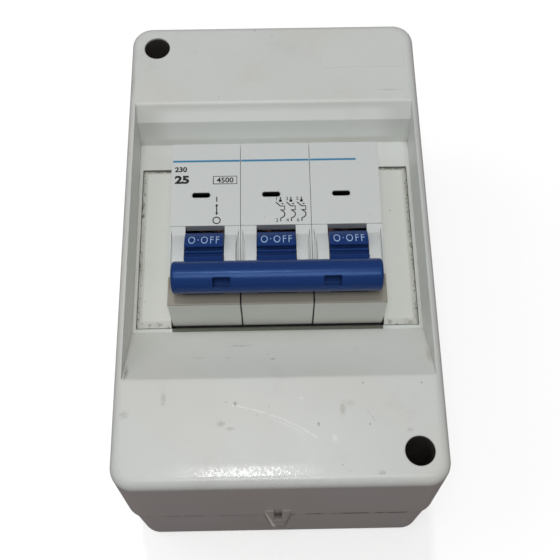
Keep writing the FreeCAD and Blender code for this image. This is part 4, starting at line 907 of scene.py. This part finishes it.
def braid_tree():
    """A flexible braid: strands twisted round a half ring, repeated in each pole."""
    graph, entry, exit_node = geometry_tree(
        "Braid", ("Bend", FLOAT, 5.7 * MM), ("Thickness", FLOAT, 1.6 * MM),
        ("Strands", "NodeSocketInt", 7), ("Twists", FLOAT, 3.0))
    wire = graph.times(entry["Thickness"], 0.18)
    core = graph.minus(graph.times(entry["Thickness"], 0.5), wire)
    line = graph.add("GeometryNodeCurvePrimitiveLine", {"Start": (0, 0, 0), "End": (0, 0, 1)})
    fine = graph.add("GeometryNodeResampleCurve", {"Curve": line.outputs[0], "Count": 60}).outputs[0]
    ring = graph.add("GeometryNodeCurvePrimitiveCircle", {"Resolution": 6, "Radius": 0.5})
    seeds = graph.add("GeometryNodeMeshLine", {"Count": entry["Strands"], "Offset": (0, 0, 0)}).outputs[0]
    strands = graph.add("GeometryNodeInstanceOnPoints", {"Points": seeds, "Instance": fine})
    number = graph.add("GeometryNodeInputIndex").outputs[0]
    marked = graph.add("GeometryNodeStoreNamedAttribute", {
        "Geometry": strands.outputs[0], "Name": "strand", "Value": number},
        data_type="FLOAT", domain="INSTANCE").outputs[0]
    lines = graph.add("GeometryNodeRealizeInstances", {0: marked}).outputs[0]
    progress = graph.add("GeometryNodeSplineParameter").outputs["Factor"]
    strand = graph.add("GeometryNodeInputNamedAttribute", {"Name": "strand"}, data_type="FLOAT").outputs[0]
    start = graph.times(graph.over(strand, entry["Strands"]), math.tau)
    twist = graph.times(progress, entry["Twists"], math.tau)
    angle = graph.plus(start, twist)
    across = graph.times(core, graph.math("COSINE", angle))
    reach = graph.plus(entry["Bend"], graph.times(core, graph.math("SINE", angle)))
    bend = graph.times(progress, math.pi)
    along = graph.times(reach, graph.times(graph.math("COSINE", bend), -1.0))
    up = graph.times(reach, graph.times(graph.math("SINE", bend), -1.0))
    point = graph.add("ShaderNodeCombineXYZ", {"X": across, "Y": along, "Z": up}).outputs[0]
    laid = graph.add("GeometryNodeSetPosition", {"Geometry": lines, "Position": point}).outputs[0]
    profile = graph.add("GeometryNodeTransform", {"Geometry": ring.outputs[0]})
    size = graph.add("ShaderNodeCombineXYZ", {
        "X": graph.times(wire, 2.0), "Y": graph.times(wire, 2.0), "Z": 1.0}).outputs[0]
    graph.feed(profile.inputs["Scale"], size)
    tubes = graph.add("GeometryNodeCurveToMesh", {
        "Curve": laid, "Profile Curve": profile.outputs[0], "Fill Caps": True}).outputs[0]
    close_tree(graph, entry, exit_node, tubes)
    return graph.tree


def rim_tree():
    """The moulded rim round an indicator slot, repeated on each pole's label face."""
    graph, entry, exit_node = geometry_tree(
        "Slot rim", ("Width", FLOAT, 5.2 * MM), ("Height", FLOAT, 2.1 * MM), ("Rim", FLOAT, 0.3 * MM))
    shape = graph.add("GeometryNodeCurvePrimitiveQuadrilateral", {
        "Width": entry["Width"], "Height": entry["Height"]}).outputs[0]
    corner = graph.times(entry["Height"], 0.499)
    rounded = graph.add("GeometryNodeFilletCurve", {
        "Curve": shape, "Radius": corner, "Limit Radius": True}, mode="POLY")
    rounded.inputs["Count"].default_value = 6
    ring = graph.add("GeometryNodeCurvePrimitiveCircle", {
        "Resolution": 8, "Radius": graph.times(entry["Rim"], 0.5)})
    rim = graph.add("GeometryNodeCurveToMesh", {
        "Curve": rounded.outputs[0], "Profile Curve": ring.outputs[0]}).outputs[0]
    close_tree(graph, entry, exit_node, rim)
    return graph.tree


def grown(name, tree, values):
    """Run a geometry tree with its named inputs and return the plain mesh."""
    carrier = add_object(name, bpy.data.meshes.new(name))
    modifier = carrier.modifiers.new(name, "NODES")
    modifier.node_group = tree
    known = {item.name: item.identifier for item in tree.interface.items_tree if item.in_out == "INPUT"}
    for label, value in values.items():
        modifier[known[label]] = tuple(value) if isinstance(value, Vector) else value
    mesh = evaluated_mesh(carrier, name)
    if not mesh.polygons:
        raise RuntimeError(f"{name}: its geometry tree made nothing")
    return cleaned(mesh)


# Print on the label faces, in millimetres ---------------------------------------------------

def switch_symbol():
    """The open ring of the off position, and the stroke of the on position above it."""
    ring = arc((0, 0), 0.9 * MM, 0, 360, 28)
    return [ring, [(0, 5.3 * MM), (0, 6.7 * MM)]]


def switch_arrows():
    """The arrow with two heads between the two positions."""
    return [[(0, 2.1 * MM), (0, 4.1 * MM)]]


def arrow_heads():
    """The two filled heads of that arrow, as flat triangles."""
    form = bmesh.new()
    for tip, base in ((4.75, 4.0), (1.45, 2.2)):
        corners = [(0, tip), (0.4, base), (-0.4, base)]
        rings = []
        for up in (-INK_THICKNESS / 2, INK_THICKNESS / 2):
            rings.append([form.verts.new((x * MM, y * MM, up)) for x, y in corners])
        form.faces.new(rings[0])
        form.faces.new(rings[1])
        for index in range(3):
            after = (index + 1) % 3
            form.faces.new((rings[0][index], rings[0][after], rings[1][after], rings[1][index]))
    return mesh_from(form, "Heads")


def circuit_symbol():
    """A breaker pole's circuit symbol: crossed contact, thermal hook and magnetic bow."""
    lines = [[(0, 6.9), (0, 6.1)], [(0, 6.1), (0, 5.5)], [(-0.36, 6.05), (0.36, 5.55)],
             [(0.36, 6.05), (-0.36, 5.55)], [(-1.15, 5.45), (0, 4.3)], [(0.25, 4.95), (0.8, 4.95)],
             [(0, 4.3), (1.05, 4.3), (1.05, 3.2), (-0.1, 3.2)]]
    lines.append(arc((0.05, 2.0), 1.0, 80, -80, 12))
    lines.append([(0.22, 1.01), (0.0, 0.75), (0, 0)])
    return [[(x * MM, y * MM) for x, y in points] for points in lines]


def framed(width, height):
    """The outline of a box about the origin."""
    x, y = width / 2 * MM, height / 2 * MM
    return [(-x, -y), (x, -y), (x, y), (-x, y), (-x, -y)]


# Sizes and colours that a user would change ------------------------------------------------

def plastic_colour(name, description, default):
    return FloatVectorProperty(name=name, description=description, default=default, size=3,
                               subtype="COLOR", min=0.0, max=1.0)


def share(name, description, default):
    return FloatProperty(name=name, description=description, default=default, subtype="FACTOR",
                         min=0.0, max=1.0)


def length(name, description, default):
    return FloatProperty(name=name, description=description, default=default * MM, unit="LENGTH",
                         min=0.0)


def power(name, description, default):
    return FloatProperty(name=name, description=description, default=default, unit="POWER", min=0.0)


class EnclosureFinish(bpy.types.PropertyGroup):
    enclosure_plastic: plastic_colour("Plastic", "Colour of the box and its cover", (0.790, 0.812, 0.790))
    aged_plastic: plastic_colour("Aged plastic", "Tone that age gives the plastic", (0.775, 0.768, 0.705))
    blank_plastic: plastic_colour("Blanks", "Colour of the two blanking plates", (0.815, 0.825, 0.780))
    # Painted shade and dirt in the corners.
    corner_dirt: share("Corner dirt", "How much dirt lies in the corners", 0.55)
    # Painted shade and dirt along the seam between box and cover.
    seam_dirt: share("Seam dirt", "How dark the dirt between box and cover is", 0.8)
    specks: share("Specks", "How strong the specks are", 0.55)
    smudges: share("Smudges", "How strong the hand smudges are", 0.12)
    roughness: share("Roughness", "Roughness of the moulded surface", 0.34)
    polish: share("Polish", "How much smoother the worn lower edge of the cover is", 0.22)
    plate_height: length("Plate relief", "How far the bare name plate stands proud", 0.12)


class BreakerFinish(bpy.types.PropertyGroup):
    case_plastic: plastic_colour("Case", "Colour of the three pole cases", (0.760, 0.792, 0.780))
    toggle_plastic: plastic_colour("Toggles", "Colour of the toggles and the tie bar", (0.016, 0.050, 0.200))
    toggle_highlight: plastic_colour("Highlight", "Tint of the toggles' highlights", (0.30, 0.52, 1.0))
    lettering: plastic_colour("Lettering", "Colour of the printed switch positions", (0.44, 0.62, 0.92))
    lettering_height: length("Lettering height", "Height of the letters on the toggles", 2.7)
    lettering_width: length("Lettering width", "Width of the letters on the toggles", 7.6)


class LabelPrint(bpy.types.PropertyGroup):
    black_ink: plastic_colour("Black ink", "Colour of the numbers and symbols", (0.010, 0.010, 0.012))
    blue_ink: plastic_colour("Blue ink", "Colour of the line over the three poles", (0.06, 0.28, 0.50))
    stripe_width: length("Line width", "Width of the blue line", 0.55)
    stroke_width: length("Stroke width", "Width of the symbols' strokes", 0.28)
    number_height: length("Number height", "Height of the terminal numbers", 0.95)
    symbol_pitch: length("Symbol pitch", "Distance between two circuit symbols", 2.66)
    rim_width: length("Slot rim width", "Width of the rim round an indicator slot", 5.1)
    rim_height: length("Slot rim height", "Height of the rim round an indicator slot", 1.95)
    rim_thickness: length("Slot rim thickness", "Thickness of that rim", 0.24)


class Windings(bpy.types.PropertyGroup):
    coil_wire: length("Coil wire", "Diameter of the release coils' wire", 1.45)
    spring_wire: length("Spring wire", "Diameter of the springs' wire", 0.75)
    copper: plastic_colour("Copper", "Colour of the copper parts", (0.72, 0.36, 0.20))
    steel: plastic_colour("Steel", "Colour of the bright steel parts", (0.56, 0.55, 0.53))
    zinc: plastic_colour("Zinc", "Colour of the zinc-plated parts", (0.60, 0.60, 0.58))


class StudioStage(bpy.types.PropertyGroup):
    floor_colour: plastic_colour("Floor", "Colour of the floor", (0.94, 0.94, 0.94))
    floor_bounce: plastic_colour("Floor bounce", "Colour that the floor throws back", (0.20, 0.14, 0.14))
    floor_glow: FloatProperty(name="Floor glow", default=0.46, min=0.0,
                              description="How much brighter the floor looks than it is lit")
    key_power: power("Key light", "Power of the large light behind the upper end", 0.5)
    front_power: power("Front light", "Power of the light above the lower end", 3.5)
    top_power: power("Top light", "Power of the light overhead", 0.2)
    fill_power: power("Fill light", "Power of the light at the left", 1.0)
    glint_power: power("Glint light", "Power of the small light overhead", 1.3)
    sky: FloatProperty(name="Sky", description="Strength of the even light from all round",
                       default=0.20, min=0.0)
    camera_place: FloatVectorProperty(name="Camera place", description="Where the camera stands",
                                      default=(-0.779 * MM, -103.493 * MM, 274.596 * MM), size=3,
                                      subtype="TRANSLATION", unit="LENGTH")
    camera_turn: FloatVectorProperty(name="Camera turn", description="Turn of the camera about Z, Y, then X",
                                     default=(0.4089164, -0.0066492, -0.0167461), size=3,
                                     subtype="EULER", unit="ROTATION")
    camera_lens: FloatProperty(name="Lens", description="Focal length on a 36 mm sensor",
                               default=58.84, min=1.0)


def shader_groups():
    """The shader groups that the finishes share, built once."""
    makers = {"moulding": ("Moulding", moulding_group), "soiling": ("Soiling", soiling_group),
              "scratch": ("Arc scratch", scratch_group), "spot": ("Spot", spot_group),
              "metal": ("Rolled metal", metal_group)}
    groups = {}
    for key, (name, maker) in makers.items():
        groups[key] = bpy.data.node_groups.get(name) or maker()
    return groups


def dress(material, *names):
    """Give CAD nodes a material."""
    for name in names:
        if name not in frame["nodes"]:
            raise RuntimeError(f"the frame has no node {name}")
        mesh = frame["nodes"][name].data
        mesh.materials.clear()
        mesh.materials.append(material)


def each_pole(*names):
    return [name.format(pole) for name in names for pole in POLES]


# Operators ---------------------------------------------------------------------------------

class EnclosureOperator(bpy.types.Operator):
    """Finish the box, its cover, the blanking plates, the rail and their screws"""
    bl_idname = "breaker.enclosure"
    bl_label = "Enclosure"

    def execute(self, context):
        settings = context.scene.breaker_enclosure
        metals = context.scene.breaker_windings
        groups = shader_groups()
        plastic = enclosure_finish(groups, settings)
        blank = blank_finish(groups, settings)
        zinc = metal(groups, "Zinc-plated steel", rgba(metals.zinc), colour(0.34, 0.31, 0.24), share=0.4)
        screw = metal(groups, "Cover screw", colour(0.30, 0.27, 0.22), colour(0.12, 0.10, 0.08), share=0.6,
                      roughness=0.5)
        dress(plastic, "base_box", "front_cover")
        dress(blank, "blanking_plate_left", "blanking_plate_right")
        dress(zinc, "din_rail", "rail_screws")
        dress(screw, "cover_screw_upper", "cover_screw_lower")
        return {"FINISHED"}


def name_plate_mesh(relief):
    """A bare plate with rounded corners, proud of the cover's front by its relief."""
    low, high = [(across * MM, along * MM) for across, along in NAME_PLATE]
    form = slab(low, high, relief * 2, COVER_HIGH.z)
    upright = [edge for edge in form.edges if abs(edge.verts[0].co.z - edge.verts[1].co.z) > relief]
    bmesh.ops.bevel(form, geom=upright, offset=NAME_PLATE_CORNER * MM, segments=4, affect="EDGES",
                    profile=0.5)
    rim = [edge for edge in form.edges if min(vertex.co.z for vertex in edge.verts) > COVER_HIGH.z]
    bmesh.ops.bevel(form, geom=rim, offset=relief * 0.6, segments=2, affect="EDGES", profile=0.5)
    return mesh_from(form, "name_plate")


class NamePlateOperator(bpy.types.Operator):
    """Raise the bare name plate on the upper front of the cover"""
    bl_idname = "breaker.name_plate"
    bl_label = "Name plate"

    def execute(self, context):
        settings = context.scene.breaker_enclosure
        plastic = plain_plastic(shader_groups(), "Plate plastic", rgba(settings.enclosure_plastic), tone=0.03,
                                roughness=0.36, corners=0.2, specks=0.4, edge=0.1)
        mesh = cleaned(name_plate_mesh(settings.plate_height))
        finish_piece("name_plate", mesh, "cover", plastic)
        return {"FINISHED"}


class BreakerOperator(bpy.types.Operator):
    """Finish the pole cases, the toggles and the parts inside the poles"""
    bl_idname = "breaker.poles"
    bl_label = "Poles"

    def execute(self, context):
        settings = context.scene.breaker_poles
        metals = context.scene.breaker_windings
        groups = shader_groups()
        dress(case_finish(groups, settings), *each_pole("pole_{}_case", "pole_{}_side_lid"))
        toggle = plain_plastic(groups, "Toggle plastic", rgba(settings.toggle_plastic), tone=0.06,
                               grain=0.5, depth=0.3, roughness=0.34, corners=0.0, specular=0.25,
                               specular_tint=settings.toggle_highlight)
        bar = plain_plastic(groups, "Tie bar plastic", rgba(settings.toggle_plastic), tone=0.08, grain=0.45,
                            depth=1.0, edge=0.3, roughness=0.24, corners=0.0, specular=0.4,
                            specular_tint=settings.toggle_highlight)
        dress(toggle, *each_pole("toggle_{}"))
        dress(bar, "tie_bar")
        inner = plain_plastic(groups, "Inner plastic", colour(0.62, 0.60, 0.55), roughness=0.5)
        dress(inner, *each_pole("trip_lever_{}"))
        clip = plain_plastic(groups, "Clip plastic", colour(0.02, 0.02, 0.022), roughness=0.45, specks=0.2)
        dress(clip, *each_pole("rail_clip_{}"))
        copper = metal(groups, "Copper", rgba(metals.copper), colour(0.30, 0.13, 0.07), share=0.35)
        dress(copper, "fixed_contacts", "line_terminal_bars", "load_terminal_bars",
              *each_pole("contact_arm_{}"))
        steel = metal(groups, "Bright steel", rgba(metals.steel), colour(0.30, 0.28, 0.25))
        dress(steel, "case_rivets", "toggle_pins", "arm_pins", "lever_pins", "coil_yokes", "arc_plates",
              *each_pole("plunger_{}"))
        plated = metal(groups, "Plated terminal", rgba(metals.zinc), colour(0.38, 0.34, 0.22), share=0.3)
        terminals = [f"terminal_{part}_{number}" for part in ("clamp", "screw") for number in range(1, 7)]
        dress(plated, "setting_screws", *terminals)
        dress(metal(groups, "Bimetal", colour(0.50, 0.44, 0.36), colour(0.28, 0.22, 0.17), streak=0.4),
              "bimetal_strips")
        dress(plain_plastic(groups, "Vulcanised fibre", colour(0.30, 0.07, 0.04), tone=0.08, grain=0.8,
                            depth=0.4, roughness=0.6), "arc_chute_cheeks")
        return {"FINISHED"}


class WindingsOperator(bpy.types.Operator):
    """Wind the release coils and the springs inside the poles"""
    bl_idname = "breaker.windings"
    bl_label = "Windings"

    def execute(self, context):
        settings = context.scene.breaker_windings
        groups = shader_groups()
        tree = winding_tree()
        enamel = metal(groups, "Enamelled copper", rgba(settings.copper), colour(0.36, 0.12, 0.05),
                       roughness=0.22)
        spring = metal(groups, "Spring steel", rgba(settings.steel), colour(0.22, 0.20, 0.18), roughness=0.28)
        along_y = (math.radians(90), 0.0, 0.0)
        along_x = (0.0, math.radians(90), 0.0)
        kinds = (("release_coils", settings.coil_wire, "y", along_y, enamel, "copper"),
                 ("toggle_springs", settings.spring_wire, "x", along_x, spring, "spring_steel"),
                 ("contact_springs", settings.spring_wire, "x", along_x, spring, "spring_steel"))
        for node, wire, axis, turn, finish, slot in kinds:
            low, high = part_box(node)
            size = high - low
            span = size.y if axis == "y" else size.x - POLE_PITCH * 2
            winding = span - wire
            mesh = grown(node, tree, {
                "Radius": (size.z - wire) / 2, "Wire": wire, "Length": winding,
                "Turns": max(2.0, math.floor(winding / wire)), "Steps": 24, "Turn": turn,
                "Poles": len(POLES), "Pitch": POLE_PITCH, "Place": (low + high) / 2, "Finish": finish})
            piece = finish_piece(f"{node}_wire", mesh, "root", finish)
            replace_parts(piece, node)
        low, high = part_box("braids")
        thickness = high.x - low.x - POLE_PITCH * 2
        mesh = grown("braids", braid_tree(), {
            "Bend": (high.y - low.y - thickness) / 2, "Thickness": thickness, "Strands": 7, "Twists": 4.0,
            "Poles": len(POLES), "Pitch": POLE_PITCH,
            "Place": ((low.x + high.x) / 2, (low.y + high.y) / 2, high.z), "Finish": enamel})
        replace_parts(finish_piece("braid_strands", mesh, "root", enamel), "braids")
        return {"FINISHED"}


def stripe(width):
    """The line over the three poles, a plate on each."""
    low, high = STRIPE_LEVEL * MM - width / 2, STRIPE_LEVEL * MM + width / 2
    pieces = []
    for pole in POLES:
        left = pole_x(pole) - (STRIPE_START if pole == POLES[0] else STRIPE_REACH) * MM
        right = pole_x(pole) + (STRIPE_END if pole == POLES[-1] else STRIPE_REACH) * MM
        pieces.append(mesh_from(slab((left, low), (right, high), INK_THICKNESS), "Plate"))
    return pieces


def symbols(settings):
    """The switch symbol, and a circuit symbol with its two terminal numbers for each pole."""
    stroke = settings.stroke_width
    marks = [strokes(switch_symbol(), stroke), strokes(switch_arrows(), stroke), arrow_heads()]
    for mesh in marks:
        moved(mesh, across=SWITCH_SYMBOL[0] * MM, along=SWITCH_SYMBOL[1] * MM)
    for index in range(len(POLES)):
        across = CIRCUIT_SYMBOL[0] * MM + index * settings.symbol_pitch
        along = CIRCUIT_SYMBOL[1] * MM
        marks.append(moved(strokes(circuit_symbol(), stroke), across, along))
        for number, (aside, ahead) in ((index * 2 + 1, UPPER_NUMBER), (index * 2 + 2, LOWER_NUMBER)):
            digits = lettering(str(number), settings.number_height)
            marks.append(moved(digits, across + aside * MM, along + ahead * MM))
    return marks


def plain_numbers(settings):
    """The three plain numbers, the last of them in a frame."""
    marks = []
    for text, height, width, weight, place in NUMBERS:
        digits = lettering(text, height * MM, width * MM, weight * MM)
        marks.append(moved(digits, place[0] * MM, place[1] * MM))
    frame_lines = strokes([framed(*NUMBER_FRAME)], settings.stroke_width * 0.8)
    marks.append(moved(frame_lines, place[0] * MM, place[1] * MM))
    return marks


class LabelOperator(bpy.types.Operator):
    """Print the line, the numbers and the symbols on the poles' label faces"""
    bl_idname = "breaker.label_print"
    bl_label = "Label print"

    def execute(self, context):
        settings = context.scene.breaker_label
        black = ink("Black ink", rgba(settings.black_ink))
        blue = ink("Blue ink", rgba(settings.blue_ink), roughness=0.4)
        line = stripe(settings.stripe_width)
        marks = symbols(settings) + plain_numbers(settings)
        for mesh in line + marks:
            moved(mesh, up=LABEL_FACE + INK_THICKNESS / 2)
        finish_piece("label_line", joined("label_line", line), "root", blue)
        finish_piece("label_marks", joined("label_marks", marks), "root", black)
        return {"FINISHED"}


class ToggleLetteringOperator(bpy.types.Operator):
    """Print the switch positions round the drums of the toggles"""
    bl_idname = "breaker.toggle_lettering"
    bl_label = "Toggle lettering"

    def execute(self, context):
        settings = context.scene.breaker_poles
        pale = ink("Pale ink", rgba(settings.lettering), roughness=0.45)
        radius = BAND_RADIUS + INK_THICKNESS / 2
        letters = []
        for pole in POLES:
            for text, angle in (("O·OFF", -OFF_ANGLE), ("I·ON", OFF_ANGLE + SWING)):
                width = settings.lettering_width * (1.0 if "OFF" in text else ON_WIDTH_SHARE)
                flat = lettering(text, settings.lettering_height, width, weight=-0.015 * MM, spacing=1.25)
                letters.append(wrapped(flat, pole_x(pole), angle, radius))
        finish_piece("toggle_letters", joined("toggle_letters", letters), "switch", pale)
        return {"FINISHED"}


class SlotRimOperator(bpy.types.Operator):
    """Raise the rims round the indicator slots of the three poles"""
    bl_idname = "breaker.slot_rims"
    bl_label = "Slot rims"

    def execute(self, context):
        settings = context.scene.breaker_label
        plastic = bpy.data.materials.get("Pole plastic")
        if plastic is None:
            raise RuntimeError("the poles are finished before their slot rims are raised")
        place = (SLOT[0] * MM, SLOT[1] * MM, LABEL_FACE - settings.rim_thickness * 0.25)
        mesh = grown("slot_rims", rim_tree(), {
            "Width": settings.rim_width, "Height": settings.rim_height, "Rim": settings.rim_thickness,
            "Poles": len(POLES), "Pitch": POLE_PITCH, "Place": place, "Finish": plastic})
        finish_piece("slot_rims", mesh, "root", plastic)
        return {"FINISHED"}


def set_floor(settings):
    """A wide floor under the breaker, a little brighter to the camera than it is lit."""
    form = bmesh.new()
    bmesh.ops.create_grid(form, x_segments=2, y_segments=2, size=FLOOR_HALF)
    mesh = mesh_from(form, "floor")
    moved(mesh, up=CAD_BOX[0][2] - FLOOR_DROP)
    floor = add_object("floor", mesh)
    material, graph, shader = new_material("Floor", specular=0.2)
    slow = graph.noise(object_place(graph), 0.004, 2.0)
    seen = graph.add("ShaderNodeLightPath").outputs["Is Camera Ray"]
    tone = graph.tint(graph.times(slow, 0.04), rgba(settings.floor_colour), grey(0.8))
    graph.feed(shader["Base Color"], graph.tint(seen, rgba(settings.floor_bounce), tone))
    graph.feed(shader["Emission Color"], grey(1.0))
    graph.feed(shader["Emission Strength"], graph.times(seen, settings.floor_glow))
    graph.feed(shader["Roughness"], graph.plus(graph.times(slow, 0.1), 0.6))
    mesh.materials.append(material)
    return floor


def hang_light(settings, name, place, size, setting):
    """A soft round light that looks at the breaker and that the camera can't see."""
    lamp = bpy.data.lights.new(name, "AREA")
    lamp.energy = getattr(settings, setting)
    lamp.shape = "DISK"
    lamp.size = size
    holder = add_object(name, lamp)
    holder.location = place
    holder.rotation_euler = (-Vector(place)).to_track_quat("-Z", "Y").to_euler()
    holder.visible_camera = False


def set_camera(settings):
    """The camera, where the settings place it."""
    lens = bpy.data.cameras.new("Camera")
    lens.lens = settings.camera_lens
    lens.sensor_width = 36.0
    lens.clip_start = 0.01
    camera = add_object("Camera", lens)
    camera.location = settings.camera_place
    camera.rotation_mode = "ZYX"
    camera.rotation_euler = settings.camera_turn
    return camera


class StageOperator(bpy.types.Operator):
    """Set out the floor, the soft lights and the camera"""
    bl_idname = "breaker.stage"
    bl_label = "Stage"

    def execute(self, context):
        settings = context.scene.breaker_stage
        set_floor(settings)
        for light in LIGHTS:
            hang_light(settings, *light)
        context.scene.view_settings.view_transform = "Standard"
        world = bpy.data.worlds.new("Studio")
        world.use_nodes = True
        sky = world.node_tree.nodes["Background"].inputs
        sky["Color"].default_value = grey(1.0)
        sky["Strength"].default_value = settings.sky
        context.scene.world = world
        context.scene.camera = set_camera(settings)
        return {"FINISHED"}


OPERATORS = (EnclosureOperator, NamePlateOperator, BreakerOperator, WindingsOperator, LabelOperator,
             ToggleLetteringOperator, SlotRimOperator, StageOperator)
SETTINGS = {"breaker_enclosure": EnclosureFinish, "breaker_poles": BreakerFinish,
            "breaker_label": LabelPrint, "breaker_windings": Windings, "breaker_stage": StudioStage}


class BreakerPanel(bpy.types.Panel):
    """Lists the operators that dress the breaker, and their settings"""
    bl_idname = "VIEW3D_PT_breaker"
    bl_label = "Breaker"
    bl_space_type = "VIEW_3D"
    bl_region_type = "UI"
    bl_category = "Breaker"

    def draw(self, context):
        for operator in OPERATORS:
            self.layout.operator(operator.bl_idname)
        for name, group in SETTINGS.items():
            box = self.layout.box()
            for field in group.__annotations__:
                box.prop(getattr(context.scene, name), field)


def register():
    for group in SETTINGS.values():
        bpy.utils.register_class(group)
    for name, group in SETTINGS.items():
        setattr(bpy.types.Scene, name, PointerProperty(type=group))
    for operator in OPERATORS:
        bpy.utils.register_class(operator)
    bpy.utils.register_class(BreakerPanel)


def unregister():
    bpy.utils.unregister_class(BreakerPanel)
    for operator in reversed(OPERATORS):
        bpy.utils.unregister_class(operator)
    for name, group in SETTINGS.items():
        delattr(bpy.types.Scene, name)
        bpy.utils.unregister_class(group)


def main():
    register()
    for operator in OPERATORS:
        category, name = operator.bl_idname.split(".")
        getattr(getattr(bpy.ops, category), name)()


if __name__ == "__main__":
    main()
